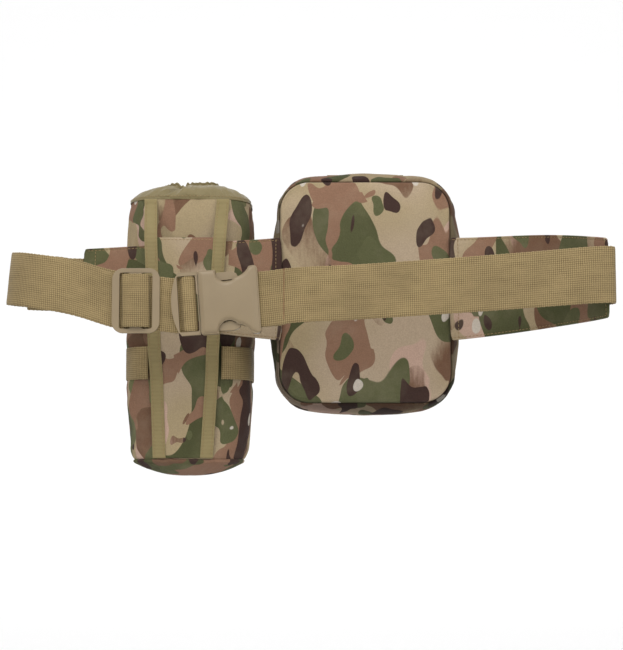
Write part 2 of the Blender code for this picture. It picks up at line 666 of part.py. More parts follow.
def strip_profile(lift):
    """Side view of a strip: flat on the pouch, standing forward where the wing passes behind it."""
    near = BOTTLE_BACK_Y - lift
    far = near - TUNNEL_DEPTH
    return [(near, STRIP_TOP_Z), (near, 0.0640), (far, 0.0550), (far, -0.0550 - lift),
            (near, -0.0630 - lift), (near, STRIP_BOTTOM_Z)]


def between(span, z):
    """Straight line from its value at the strips' top to its value at their bottom."""
    t = (STRIP_TOP_Z - z) / (STRIP_TOP_Z - STRIP_BOTTOM_Z)
    return span[0] + (span[1] - span[0]) * t


def back_strips(parent):
    tunnel_lift = GAP + TUNNEL_T / 2
    strip_lift = tunnel_lift + TUNNEL_T / 2 + GAP + STRIP_T / 2
    for name, span in (("strip_left", STRIP_LEFT_X), ("strip_right", STRIP_RIGHT_X)):
        rows = [[(between(span, z) + side * STRIP_W / 2, y, z) for y, z in strip_profile(strip_lift)]
                for side in (-1, 1)]
        solid(part(name, extruded_rows(name, rows), KHAKI, parent=parent), STRIP_T)
    profile = strip_profile(tunnel_lift)[2:]
    profile[0] = (profile[0][0], TUNNEL_TOP_Z)
    spans = ((STRIP_LEFT_X, 0.001), (STRIP_RIGHT_X, -0.001))
    rows = [[(between(span, z) + inward, y, z) for y, z in profile] for span, inward in spans]
    solid(part("tunnel_panel", extruded_rows("tunnel_panel", rows), CAMO, parent=parent), TUNNEL_T)


def side_strap(parent):
    """Webbing round the body below the wing, from one strip's outer edge to the other's."""
    grow, width = GAP + WEB_T / 2 + 0.0002, 0.1228
    z_mid = sum(SIDE_STRAP_Z) / 2
    clear = STRIP_W / 2 + 0.001
    right, left = between(STRIP_RIGHT_X, z_mid) + clear, between(STRIP_LEFT_X, z_mid) - clear
    ring = bottle_ring(width, 0.0, grow)
    plan = [(x, y) for x, y, _ in ring if y > mouth_y() or not left - 0.001 < x < right + 0.001]
    corner_r = 0.26 * width + grow

    def on_back_corner(x):
        across = abs(x - BOTTLE_X) - (width / 2 + grow - corner_r)
        return x, BOTTLE_BACK_Y - grow + corner_r - math.sqrt(corner_r ** 2 - across ** 2)

    plan = [on_back_corner(right)] + plan + [on_back_corner(left)]
    rows = [[(x, y, z) for x, y in plan] for z in SIDE_STRAP_Z]
    solid(part("side_strap", extruded_rows("side_strap", rows), KHAKI, parent=parent), WEB_T)


def cord_lock(parent, collar):
    """Drawcord in the collar's hem, out through two holes and round through a sprung cord lock."""
    middle = Vector((BOTTLE_X, mouth_y(), CORD_Z))
    half_gap = 0.0021
    lock = middle + Vector((0, 0.0540, 0.0040))
    hem_y = middle.y + 0.0350
    right, left = middle.x + half_gap, middle.x - half_gap
    start = math.degrees(math.asin(half_gap / CORD_RING_R))
    ring = [(middle.x + x, middle.y + y, CORD_Z)
            for x, y in arc((0, 0), CORD_RING_R, 90 + start, 450 - start, 44)]
    turn_y = lock.y + LOCK_R + 0.0045
    out = [(hem_y + 0.002, CORD_Z), (lock.y - 0.0100, lock.z), (turn_y, lock.z)]
    turn = [(middle.x + x, turn_y + y, lock.z) for x, y in arc((0, 0), half_gap, 30, 150, 4)]
    cord = ring + [(right, y, z) for y, z in out] + turn + [(left, y, z) for y, z in reversed(out)]
    tube("drawcord", cord, CORD_R, KHAKI, cyclic=True, parent=parent)
    for x in (left, right):
        hole = cylinder_mesh("hole", (x, hem_y - 0.002, CORD_Z), (x, hem_y + 0.003, CORD_Z),
                             CORD_R + GAP, 16)
        combine(collar, hole)
    lock_pieces(lock, parent, (half_gap + CORD_R + GAP, CORD_R + GAP))


def lock_pieces(lock, parent, slot):
    """Barrel, sprung button and spring of the cord lock; slot is the cord hole's half width and height."""
    floor_x, mouth_x = lock.x - LOCK_SPRING_SIDE, lock.x + LOCK_BUTTON_SIDE
    bore_r = LOCK_R - LOCK_WALL

    def along(name, near, far, radius):
        return cylinder_mesh(name, (near, lock.y, lock.z), (far, lock.y, lock.z), radius, 28)

    def cord_hole(reach):
        return box_mesh("cord_hole", (lock.x - slot[0], lock.y - 0.010, lock.z - slot[1]),
                        (lock.x + slot[0] + reach, lock.y + 0.010, lock.z + slot[1]))

    barrel = part("lock_barrel", along("lock_barrel", floor_x, mouth_x, LOCK_R), ZIP_BROWN, 0.5,
                  parent=parent)
    combine(barrel, along("bore", floor_x + LOCK_FLOOR, mouth_x + 0.001, bore_r))
    combine(barrel, cord_hole(0.0))
    press = pivot("lock_button_pivot", lock - parent.location, parent)
    inner_x = lock.x - slot[0] - 0.0010
    stem = along("lock_button", inner_x, mouth_x + BUTTON_TRAVEL + 0.0015, bore_r - 0.0004)
    button = part("lock_button", stem, ZIP_BROWN, 0.5, parent=press)
    combine(button, cord_hole(BUTTON_TRAVEL))
    turns, facets, wire, coil_r = 3, 10, 0.0003, 0.0036
    near, far = floor_x + LOCK_FLOOR + GAP + wire, inner_x - GAP - wire
    coil = []
    for step in range(turns * facets + 1):
        angle = 2 * math.pi * step / facets
        x = near + (far - near) * step / (turns * facets)
        coil.append((x, lock.y + coil_r * math.cos(angle), lock.z + coil_r * math.sin(angle)))
    tube("lock_spring", coil, wire, STEEL, roughness=0.3, metallic=1.0, parent=parent)


def bottle_pouch():
    slide = pivot("bottle_slide_pivot", (BOTTLE_X, LEFT_WING_Y, 0.0055))
    collar = bottle_shell(slide)
    back_strips(slide)
    side_strap(slide)
    cord_lock(slide, collar)


main_pouch()
front_cover()
main_sliders()
wings()
belt()
bottle_pouch()
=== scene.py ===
"""Looks of a camouflage waist pack: fabric pouches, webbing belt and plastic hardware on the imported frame."""

import math

import bpy
import numpy as np
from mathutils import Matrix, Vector, noise
from mathutils.bvhtree import BVHTree


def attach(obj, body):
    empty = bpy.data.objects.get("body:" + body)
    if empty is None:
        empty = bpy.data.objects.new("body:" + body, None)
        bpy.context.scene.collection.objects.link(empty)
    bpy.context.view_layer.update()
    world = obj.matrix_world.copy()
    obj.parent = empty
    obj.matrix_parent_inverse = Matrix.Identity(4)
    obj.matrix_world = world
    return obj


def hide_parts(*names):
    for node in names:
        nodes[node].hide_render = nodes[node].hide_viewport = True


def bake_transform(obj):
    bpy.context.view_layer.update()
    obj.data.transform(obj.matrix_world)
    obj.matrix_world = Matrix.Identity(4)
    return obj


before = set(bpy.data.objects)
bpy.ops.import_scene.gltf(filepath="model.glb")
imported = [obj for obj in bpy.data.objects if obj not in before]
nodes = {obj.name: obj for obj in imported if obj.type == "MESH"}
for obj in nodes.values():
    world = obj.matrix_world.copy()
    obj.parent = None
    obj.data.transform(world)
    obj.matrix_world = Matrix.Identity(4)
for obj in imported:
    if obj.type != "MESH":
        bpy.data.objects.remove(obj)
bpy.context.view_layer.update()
scene = bpy.context.scene

# Sizes shared with the CAD, in metres
PANEL_W, PANEL_H, PANEL_R = 0.166, 0.216, 0.029
PANEL_X, PANEL_Z = -0.0016, 0.0009         # the sewn panels sit a little off the pouch's middle
BULGE, POUCH_DEPTH, ZIP_Y = 0.009, 0.070, 0.0355
POCKET_W, POCKET_H, POCKET_R, POCKET_Z = 0.130, 0.104, 0.018, -0.038
POCKET_BACK_Y, POCKET_FACE_Y = 0.0703, 0.0863
WING_T = 0.0036
ROOT_X, ROOT_Z = 0.0812, (-0.0475, 0.0530)
LEFT_END_X, LEFT_END_Z, LEFT_WING_Y = -0.2745, (-0.0261, 0.0422), 0.0005
RIGHT_END_Z = (-0.0359, 0.0359)
WEB_W, WEB_T = 0.0505, 0.0018
BUCKLE_AT, BUCKLE_TILT = Vector((-0.155, -0.0755, -0.0196)), math.radians(4.0)
TRI_AT = Vector((-0.2134, -0.0761, -0.0172))
BOTTLE_X, BOTTLE_BACK_Y, BOTTLE_DEPTH_LOSS = -0.1745, 0.0078, 0.008
BOTTLE_MOUTH_Y = BOTTLE_BACK_Y + (0.1242 - BOTTLE_DEPTH_LOSS) / 2
STRIP_W, STRIP_TOP_Z, STRIP_BOTTOM_Z = 0.0125, 0.0925, -0.1600
STRIP_LEFT_X, STRIP_RIGHT_X = (-0.2108, -0.1999), (-0.1400, -0.1545)


# ---------------------------------------------------------------- node materials

class Nodes:
    """Chains shader nodes together in one node tree."""

    def __init__(self, tree):
        self.tree = tree

    def put(self, socket, value):
        if isinstance(value, bpy.types.NodeSocket):
            self.tree.links.new(value, socket)
        elif isinstance(value, (tuple, list)) and len(value) == 3 and socket.type == "RGBA":
            socket.default_value = (*value, 1.0)
        else:
            socket.default_value = value

    def node(self, kind, inputs, **settings):
        made = self.tree.nodes.new(kind)
        for key, value in settings.items():
            setattr(made, key, value)
        for key, value in inputs.items():
            self.put(made.inputs[key], value)
        return made

    def math(self, operation, a, b=0.0):
        return self.node("ShaderNodeMath", {0: a, 1: b}, operation=operation).outputs[0]

    def times(self, a, b):
        return self.math("MULTIPLY", a, b)

    def ramp(self, value, low, high, start=0.0, end=1.0, kind="LINEAR"):
        """From start at low to end at high."""
        made = self.node("ShaderNodeMapRange", {"Value": value, "From Min": low, "From Max": high,
                                                "To Min": start, "To Max": end}, interpolation_type=kind)
        return made.outputs["Result"]

    def step(self, value, low, high):
        """0 below low, 1 above high, smooth between."""
        return self.ramp(value, low, high, kind="SMOOTHSTEP")

    def mix(self, factor, a, b):
        made = self.node("ShaderNodeMix", {}, data_type="RGBA")
        for socket, value in ((made.inputs[0], factor), (made.inputs[6], a), (made.inputs[7], b)):
            self.put(socket, value)
        return made.outputs[2]

    def place(self, offset=(0, 0, 0), scale=(1, 1, 1), turn=(0, 0, 0), uv=False):
        """The piece's own coordinates, shifted, turned and scaled."""
        source = self.node("ShaderNodeTexCoord", {}).outputs["UV" if uv else "Object"]
        return self.node("ShaderNodeMapping", {"Vector": source, "Location": offset, "Rotation": turn,
                                               "Scale": scale}).outputs[0]

    def noise(self, vector, scale, detail=2.0, roughness=0.5, distortion=0.0):
        inputs = {"Vector": vector, "Scale": scale, "Detail": detail, "Roughness": roughness,
                  "Distortion": distortion}
        return self.node("ShaderNodeTexNoise", inputs).outputs["Fac"]

    def split(self, vector):
        return self.node("ShaderNodeSeparateXYZ", {0: vector}).outputs

    def wave(self, value, pitch):
        """A sine from -1 to 1 with one period per pitch."""
        return self.math("SINE", self.times(value, 2 * math.pi / pitch))

    def ribs(self, value, pitch):
        """Rounded ribs from 0 to 1, two per pitch."""
        return self.math("ABSOLUTE", self.wave(value, pitch))


class Look(Nodes):
    """A procedural material."""

    def __init__(self, name, roughness=0.85, specular=0.25, sheen=0.0, metallic=0.0):
        self.material = bpy.data.materials.new(name)
        self.material.use_nodes = True
        super().__init__(self.material.node_tree)
        self.inputs = self.tree.nodes["Principled BSDF"].inputs
        for key, value in (("Roughness", roughness), ("Specular IOR Level", specular),
                           ("Sheen Weight", sheen), ("Sheen Roughness", 0.5), ("Metallic", metallic)):
            self.put(self.inputs[key], value)

    def finish(self, colour, height=None, distance=0.0004, strength=0.6):
        self.put(self.inputs["Base Color"], colour)
        if height is not None:
            bump = self.node("ShaderNodeBump", {"Height": height, "Distance": distance, "Strength": strength})
            self.put(self.inputs["Normal"], bump.outputs[0])
        return self.material


def srgb(red, green, blue, share=1.0):
    """Linear colour from 0-255 display values."""
    return tuple((value * share / 255) ** 2.2 for value in (red, green, blue))


BLACK = (0.0, 0.0, 0.0)
TAN, OLIVE_TAN, PINK_TAN = srgb(178, 158, 134), srgb(166, 148, 116), srgb(190, 160, 142)
GREEN, DARK_GREEN, PALE_GREEN = srgb(94, 95, 67), srgb(80, 81, 56), srgb(128, 126, 90)
BROWN, RED_BROWN, DARK_BROWN = srgb(116, 88, 70), srgb(140, 108, 88), srgb(70, 54, 49)
OFF_WHITE, FADED = srgb(200, 190, 176), srgb(180, 166, 142)
# The dark khaki is painted shade for the holes and grooves of the webbing and binding tape
KHAKI, KHAKI_SHADE = srgb(156, 136, 96), srgb(78, 60, 38)
THREAD, BROWN_THREAD = srgb(156, 130, 88), srgb(150, 112, 78)


def weave_height(look, pitch):
    """Plain canvas weave that shows on faces of any direction."""
    x, y, z = [look.ribs(value, pitch) for value in look.split(look.place())]
    return look.math("ADD", look.math("ADD", x, y), z)


def camouflage(name, offset, turn=(0, 0, 0), scale=1.45, shade=0.0, fold=0.0):
    """Soft and hard edged rounded shapes printed over a tan ground, longer than they are wide."""
    look = Look(name, roughness=0.92, specular=0.12, sheen=0.03)

    def shapes(shift, size, stretch=0.72, detail=0.8, distortion=0.25, wide=1.0):
        at = look.place([value + shift for value in offset], (scale * wide, scale, scale * stretch), turn)
        return look.noise(at, size, detail, 0.45, distortion)

    def printed(shape, low, high, ink):
        return look.mix(look.step(shape, low, high), colour, ink)

    low = shapes(0.0, 6.0, 1.0)
    colour = look.mix(look.step(low, 0.40, 0.62), TAN, OLIVE_TAN)
    colour = printed(shapes(3.1, 12.0), 0.650, 0.656, PINK_TAN)
    # Sprayed brown: hard on one side, fading out on the other
    spray, fade = shapes(1.3, 11.0), shapes(4.4, 8.0)
    grain = look.times(look.noise(look.place(scale=(1, 1, 0.25)), 420.0), 0.10)
    soft = look.step(look.math("ADD", fade, grain), 0.44, 0.62)
    colour = look.mix(look.times(look.step(spray, 0.535, 0.541), soft), colour, BROWN)
    # Large green shapes, paler towards one side
    leaf = shapes(-1.7, 9.5, 0.80, 1.0, 0.35)
    green = look.mix(look.step(low, 0.40, 0.62), GREEN, DARK_GREEN)
    green = look.mix(look.times(look.step(fade, 0.58, 0.72), 0.6), green, PALE_GREEN)
    colour = printed(leaf, 0.552, 0.556, green)
    # Hard brown shapes, some beside the green
    beside = look.times(look.step(leaf, 0.505, 0.509), 0.035)
    bark = look.math("ADD", shapes(7.3, 13.0, 0.70, 1.2, 0.5), beside)
    colour = printed(bark, 0.590, 0.595, RED_BROWN)
    colour = printed(shapes(11.9, 25.0, 0.8, 0.3), 0.680, 0.686, GREEN)
    # Dark upright blobs
    colour = printed(shapes(-5.2, 27.0, 0.50, 0.5, 0.35, 1.1), 0.638, 0.645, DARK_BROWN)
    # Pale ovals, slightly bent
    at = look.place([value + 2.4 for value in offset], (scale * 25, scale * 25, scale * 16), turn)
    bend = look.node("ShaderNodeTexNoise", {"Vector": at, "Scale": 1.1, "Detail": 1.0}).outputs["Color"]
    at = look.node("ShaderNodeVectorMath", {0: bend, 1: (0.55, 0.55, 0.55), 2: at},
                   operation="MULTIPLY_ADD").outputs[0]
    cells = look.node("ShaderNodeTexVoronoi", {"Vector": at, "Scale": 1.0, "Randomness": 0.9}).outputs
    chosen = look.step(look.split(cells["Color"])[0], 0.45, 0.46)
    inside = look.math("SUBTRACT", 1.0, look.step(cells["Distance"], 0.155, 0.175))
    colour = look.mix(look.times(chosen, inside), colour, OFF_WHITE)
    # Yarn: slight tone change from thread to thread, and fading where the cloth is handled
    yarn = look.noise(look.place(), 900.0, 1.0)
    worn = look.noise(look.place(offset), 30.0, 3.0, 0.6)
    colour = look.mix(look.step(yarn, 0.25, 0.75), look.mix(0.16, colour, BLACK), colour)
    colour = look.mix(look.times(look.step(worn, 0.45, 0.75), 0.10), colour, FADED)
    if fold:
        # Painted shade: darker in the fold beside the panel, towards its seam, out of the light, except along
        # the top
        _, deep, high = look.split(look.place())
        fold_shade_mask = look.times(look.step(deep, 0.028, 0.004), look.step(high, 0.112, 0.095))
        colour = look.mix(look.times(fold_shade_mask, fold), colour, BLACK)
    # Painted shade: the whole cloth darkened by this share, as cloth that faces away from the light
    colour = look.mix(shade, colour, BLACK)
    height = look.math("ADD", weave_height(look, 0.0011), look.times(worn, 2.0))
    return look.finish(colour, height, 0.00012, 0.7)


def webbing(name, along=0.00185, across=0.0019):
    """Flat webbing: crosswise ribs broken by lengthwise yarns, laid out on the strap's own UVs."""
    look = Look(name, roughness=0.72, specular=0.25, sheen=0.05)
    u, v, _ = look.split(look.place(uv=True))
    wobble = look.times(look.noise(look.place(uv=True), 60.0, 1.0), 0.0012)
    rib = look.ribs(look.math("ADD", u, wobble), 2 * along)
    yarn = look.ribs(look.math("ADD", v, look.times(wobble, 0.4)), 2 * across)
    height = look.times(look.math("POWER", rib, 0.6), look.math("POWER", yarn, 0.5))
    # Painted shade in the holes between the ribs and yarns: darkened towards the dark khaki, more along the
    # streaks
    hole_shade = look.math("SUBTRACT", 1.0, look.step(height, 0.05, 0.78))
    patch = look.noise(look.place(uv=True), 16.0, 3.0, 0.55)
    base = look.mix(look.step(patch, 0.30, 0.72), [c * 0.88 for c in KHAKI], [c * 1.12 for c in KHAKI])
    fuzz = look.noise(look.place(), 1400.0)
    base = look.mix(look.step(fuzz, 0.3, 0.7), look.mix(0.14, base, BLACK), base)
    streaks = look.noise(look.place((3, 1, 0), (1, 3.5, 1), (0, 0, 0.7), uv=True), 45.0, 3.0)
    colour = look.mix(look.times(hole_shade, look.ramp(streaks, 0.3, 0.7, 0.50, 1.0)), base, KHAKI_SHADE)
    return look.finish(colour, height, 0.0004, 0.8)


def binding(name):
    """Narrow grosgrain tape: fine crosswise ribs."""
    look = Look(name, roughness=0.8, specular=0.2, sheen=0.05)
    u, v, _ = look.split(look.place(uv=True))
    rib = look.ribs(u, 0.0026)
    height = look.math("ADD", rib, look.times(look.ribs(v, 0.0020), 0.25))
    base = look.mix(look.noise(look.place(), 60.0), srgb(134, 121, 84), srgb(152, 138, 99))
    # Painted shade in the grooves between the ribs, darkened towards the dark khaki
    gap_shade = look.times(look.math("SUBTRACT", 1.0, look.step(rib, 0.0, 0.5)), 0.55)
    return look.finish(look.mix(gap_shade, base, KHAKI_SHADE), height, 0.0003, 0.8)


def nylon(name, colour=(122, 110, 76)):
    """Thin plain nylon with a faint grid and a soft sheen."""
    look = Look(name, roughness=0.55, specular=0.32, sheen=0.12)
    base = look.mix(look.noise(look.place(), 35.0, 3.0, 0.55), srgb(*colour, 0.90), srgb(*colour, 1.08))
    crumple = look.noise(look.place(), 160.0, 2.0, 0.5, 0.6)
    grid = look.times(weave_height(look, 0.0009), 0.3)
    return look.finish(base, look.math("ADD", grid, look.times(crumple, 3.0)), 0.00022, 0.6)


def plastic(name, colour=(136, 119, 92), roughness=0.42):
    """Moulded acetal: faint texture, slightly shinier where rubbed."""
    look = Look(name, roughness=roughness, specular=0.5)
    base = look.mix(look.noise(look.place(), 45.0, 3.0, 0.6), srgb(*colour, 0.96), srgb(*colour, 1.04))
    rubbed = look.noise(look.place((2, 1, 5)), 120.0, 3.0)
    look.put(look.inputs["Roughness"], look.ramp(rubbed, 0.0, 1.0, roughness - 0.09, roughness + 0.13))
    return look.finish(base, look.noise(look.place(), 2600.0), 0.00004, 0.7)


def thread(name, colour):
    """Twisted sewing thread."""
    look = Look(name, roughness=0.6, specular=0.3, sheen=0.1)
    x, y, z = look.split(look.place())
    twist = look.wave(look.math("ADD", look.math("ADD", x, y), z), 0.0009)
    # Painted shade: one side of each twist darker, for the grooves between the plies
    base = look.mix(look.step(twist, -1.0, 1.0), [c * 0.7 for c in colour], colour)
    return look.finish(base, twist, 0.0001, 0.5)


def metal(name):
    """Dull plated metal with fine scratches."""
    look = Look(name, roughness=0.38, specular=0.5, metallic=1.0)
    scratch = look.noise(look.place(scale=(1, 30, 1)), 220.0, 3.0)
    return look.finish(look.mix(scratch, srgb(120, 116, 106), srgb(168, 163, 150)), scratch, 0.00003, 0.5)


def pocket_tape(name):
    """Woven tape with the pocket zip's small ribs along its middle."""
    look = Look(name, roughness=0.65, specular=0.3)
    x, _, z = look.split(look.place())
    from_middle = look.math("ABSOLUTE", look.math("ADD", z, 0.002))
    rib = look.ribs(x, 0.0032)
    # Painted shade and highlight on the coil: each rib light on top and dark between the ribs
    coil = look.mix(rib, srgb(52, 45, 32), srgb(110, 98, 72))
    tape = look.mix(look.noise(look.place(), 700.0), srgb(92, 82, 56), srgb(122, 110, 78))
    in_coil = look.math("SUBTRACT", 1.0, look.step(from_middle, 0.0011, 0.0015))
    return look.finish(look.mix(in_coil, tape, coil), look.times(rib, in_coil), 0.0004, 0.8)


THREAD_LOOK = thread("sewing_thread", THREAD)
BROWN_THREAD_LOOK = thread("brown_thread", BROWN_THREAD)
WEBBING_LOOK = webbing("belt_webbing")
BINDING_LOOK = binding("binding_tape")
NYLON_LOOK = nylon("collar_nylon")
LINING_LOOK = nylon("lining_nylon", (96, 90, 66))
PLASTIC_LOOK = plastic("buckle_plastic")
DARK_PLASTIC_LOOK = plastic("dark_plastic", (62, 54, 42), 0.5)
METAL_LOOK = metal("dull_metal")
ZIP_LOOK = plastic("zip_coil", (84, 74, 54), 0.5)


# ---------------------------------------------------------------- mesh helpers

def lerp(a, b, t):
    return a + (b - a) * t


def ease(t):
    """Smooth step from 0 to 1."""
    t = min(max(t, 0.0), 1.0)
    return t * t * (3 - 2 * t)


def rough(*at):
    """Smooth noise from about -1 to 1 at a place."""
    return noise.noise(Vector(at))


def rough_ring(angle, size, third):
    """The same noise round a circle, so that it closes on itself."""
    return rough(math.cos(angle) * size, math.sin(angle) * size, third)


def run_of(points):
    """Distance along a polyline at each of its points."""
    steps = np.linalg.norm(np.diff(points, axis=0), axis=1)
    return np.concatenate([[0.0], np.cumsum(steps)])


def headings(points):
    """Unit directions along a polyline."""
    ahead = np.gradient(points, axis=0)
    return ahead / np.linalg.norm(ahead, axis=1, keepdims=True)


def smooth(points, steps=6):
    """Catmull-Rom curve through points of any dimension."""
    points = [Vector(point) for point in points]
    padded = [2 * points[0] - points[1]] + points + [2 * points[-1] - points[-2]]
    result = []
    for before, start, end, after in zip(padded, padded[1:], padded[2:], padded[3:]):
        for step in range(steps):
            t = step / steps
            result.append(0.5 * (2 * start + (end - before) * t
                                 + (2 * before - 5 * start + 4 * end - after) * t ** 2
                                 + (3 * start - before - 3 * end + after) * t ** 3))
    return result + [points[-1]]


def evenly(points, spacing=None, count=None, closed=False):
    """Points at an even spacing along a polyline of any dimension."""
    points = np.array([list(point) for point in points], float)
    if closed:
        points = np.vstack([points, points[:1]])
    run = run_of(points[:, :3])
    if count is None:
        count = max(2, int(round(run[-1] / spacing)) + 1)
    stations = np.linspace(0.0, run[-1], count + 1)[:-1] if closed else np.linspace(0.0, run[-1], count)
    return np.column_stack([np.interp(stations, run, points[:, k]) for k in range(points.shape[1])])


def piece(name, points, faces, corners=None):
    """A smooth-shaded mesh, with UVs for its face corners if given."""
    data = bpy.data.meshes.new(name)
    data.from_pydata([tuple(point) for point in points], [], faces)
    if corners:
        layer = data.uv_layers.new(name="UVMap")
        layer.data.foreach_set("uv", np.array(corners, np.float32).ravel())
    data.polygons.foreach_set("use_smooth", [True] * len(data.polygons))
    thing = bpy.data.objects.new(name, data)
    scene.collection.objects.link(thing)
    return thing


def surface(name, rows, closed=False, ends=(), uv=None):
    """A quad mesh through rows of points, with UVs in metres: u along each row, v from row to row.
    ends lists the rows that are closed off, 0 for the first and -1 for the last."""
    grid = np.array(rows, float)
    count, width = grid.shape[:2]
    middle = grid[count // 2]
    along = run_of(np.vstack([middle, middle[:1]]))
    across = np.concatenate([[0.0], np.cumsum(np.linalg.norm(np.diff(grid, axis=0), axis=2).mean(axis=1))])
    uv = uv or (lambda i, j: (along[j], across[i]))
    faces, corners = [], []
    for i in range(count - 1):
        for j in range(width if closed else width - 1):
            k = (j + 1) % width
            faces.append((i * width + j, i * width + k, (i + 1) * width + k, (i + 1) * width + j))
            corners += [uv(i, j), uv(i, j + 1), uv(i + 1, j + 1), uv(i + 1, j)]
    points = list(grid.reshape(-1, 3))
    for end in ends:
        first = end % count * width
        ring = list(range(first, first + width))[::1 if end else -1]
        points.append(grid[end].mean(axis=0))
        for a, b in zip(ring, ring[1:] + ring[:1]):
            faces.append((a, b, len(points) - 1))
            corners += [(0.0, 0.0), (0.001, 0.0), (0.0, 0.001)]
    return piece(name, points, faces, corners)


def applied(thing):
    """Bake the modifiers into the mesh."""
    bpy.context.view_layer.update()
    evaluated = thing.evaluated_get(bpy.context.evaluated_depsgraph_get())
    data = bpy.data.meshes.new_from_object(evaluated)
    thing.modifiers.clear()
    thing.data = data
    data.polygons.foreach_set("use_smooth", [True] * len(data.polygons))


def rounded(thing):
    """One level of subdivision."""
    rounding = thing.modifiers.new("rounding", "SUBSURF")
    rounding.levels = rounding.render_levels = 1
    applied(thing)


def thickened(thing, thickness, offset=0.0, subdivide=True):
    """Turn a surface into cloth of real thickness and round it off."""
    shell = thing.modifiers.new("thickness", "SOLIDIFY")
    shell.thickness = thickness
    shell.offset = offset
    shell.use_even_offset = True
    if subdivide:
        rounded(thing)
    else:
        applied(thing)
    return thing


SIM_FRAMES = 14


def settle(thing, pinned, pressure, slack, cap, bending=0.6):
    """A short cloth simulation between pinned seams: the fabric fills out and buckles a little."""
    group = thing.vertex_groups.new(name="seam")
    group.add([int(index) for index in pinned], 1.0, "REPLACE")
    start = np.array([vert.co[:] for vert in thing.data.vertices])
    cloth = thing.modifiers.new("cloth", "CLOTH")
    rules = cloth.settings
    rules.quality = 6
    rules.mass = 0.15
    rules.tension_stiffness = rules.compression_stiffness = 30.0
    rules.shear_stiffness = 12.0
    rules.bending_stiffness = bending
    rules.shrink_min = rules.shrink_max = -slack
    rules.use_pressure = pressure != 0
    rules.uniform_pressure_force = pressure
    rules.vertex_group_mass = group.name
    rules.effector_weights.gravity = 0.0
    for step in range(1, SIM_FRAMES + 1):
        scene.frame_set(step)
    evaluated = thing.evaluated_get(bpy.context.evaluated_depsgraph_get())
    moved = np.array([vert.co[:] for vert in evaluated.data.vertices]) - start
    length = np.linalg.norm(moved, axis=1, keepdims=True)
    moved *= cap * np.tanh(length / cap) / np.maximum(length, 1e-9)
    thing.modifiers.clear()
    thing.vertex_groups.clear()
    thing.data.vertices.foreach_set("co", (start + moved).astype(np.float32).ravel())
    thing.data.update()
    scene.frame_set(1)


def dressed(thing, material, body=None, stands_for=()):
    """Give a piece its material, the body it rides on, and the CAD nodes it stands for."""
    thing.data.materials.clear()
    thing.data.materials.append(material)
    if body:
        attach(thing, body)
    if stands_for:
        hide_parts(*stands_for)
    return thing


def tube(name, points, radius, sides):
    """A round wire through points."""
    points = np.array([list(point) for point in points])
    side = np.cross(points[1] - points[0], (0.0, 0.0, 1.0))
    rows = []
    for point, forward in zip(points, headings(points)):
        side = side - forward * (side @ forward)
        side /= np.linalg.norm(side)
        up = np.cross(forward, side)
        rows.append([point + radius * (math.cos(a) * side + math.sin(a) * up)
                     for a in np.linspace(0, 2 * math.pi, sides, endpoint=False)])
    return surface(name, rows, closed=True, ends=(0, -1))


def skin_of(thing):
    """A search tree of a finished surface, for laying stitches on it."""
    bpy.context.view_layer.update()
    return BVHTree.FromObject(thing, bpy.context.evaluated_depsgraph_get())


def on_skin(tree, point, toward, lift):
    """Drop a point on a surface along a direction; returns the place and the surface's normal."""
    toward = Vector(toward).normalized()
    hit, normal, _, _ = tree.ray_cast(Vector(point) - toward * 0.03, toward, 0.06)
    if hit is None:
        hit, normal, _, _ = tree.find_nearest(Vector(point))
    if normal.dot(toward) > 0:
        normal = -normal
    return hit + normal * lift, normal


STITCH_PITCH, STITCH_L, STITCH_R = 0.0036, 0.0027, 0.00030
BEAD_SIDES = 5
# A stitch's rings: place along it, girth, and how far it dips into the cloth
BEAD = ((-0.5, 0.35, 0.9), (-0.32, 1.0, 0.0), (0.0, 1.1, -0.3), (0.32, 1.0, 0.0), (0.5, 0.35, 0.9))


def prism(first, rings, sides):
    """Faces of a closed bar whose rings of points start at an index."""
    faces = []
    for ring in range(rings - 1):
        for k in range(sides):
            a, b = first + ring * sides + k, first + ring * sides + (k + 1) % sides
            faces.append((a, b, b + sides, a + sides))
    last = first + (rings - 1) * sides
    return faces + [tuple(range(first, first + sides))[::-1], tuple(range(last, last + sides))]


def stitches(name, lines, body, tree, toward=(0, 1, 0), pitch=STITCH_PITCH, length=STITCH_L,
             radius=STITCH_R, look=THREAD_LOOK):
    """Rows of sewn thread: each stitch is a short bead that dips into the cloth at both ends."""
    points, faces = [], []
    for line in lines:
        run = evenly(line, spacing=pitch)
        for start, end in zip(run, run[1:]):
            a, b = Vector(start), Vector(end)
            way = toward((a + b) / 2) if callable(toward) else toward
            (a, normal_a), (b, normal_b) = (on_skin(tree, p, way, radius * 0.25) for p in (a, b))
            facing = -((normal_a + normal_b) / 2).normalized()
            ahead = b - a
            if ahead.length < 1e-6 or ahead.length > 3 * pitch:
                continue
            ahead.normalize()
            side = ahead.cross(facing).normalized()
            faces += prism(len(points), len(BEAD), BEAD_SIDES)
            for t, grow, dip in BEAD:
                centre = (a + b) / 2 + ahead * (t * length) + facing * (dip * radius)
                for k in range(BEAD_SIDES):
                    angle = 2 * math.pi * k / BEAD_SIDES
                    spoke = side * math.cos(angle) + facing * math.sin(angle)
                    points.append(centre + spoke * radius * grow)
    return dressed(piece(name, points, faces), look, body)


def arc(centre, radius, start, end, steps=6):
    """Points of an arc in a plane, angles in degrees."""
    angles = [math.radians(lerp(start, end, step / steps)) for step in range(steps + 1)]
    return [(centre[0] + radius * math.cos(a), centre[1] + radius * math.sin(a)) for a in angles]


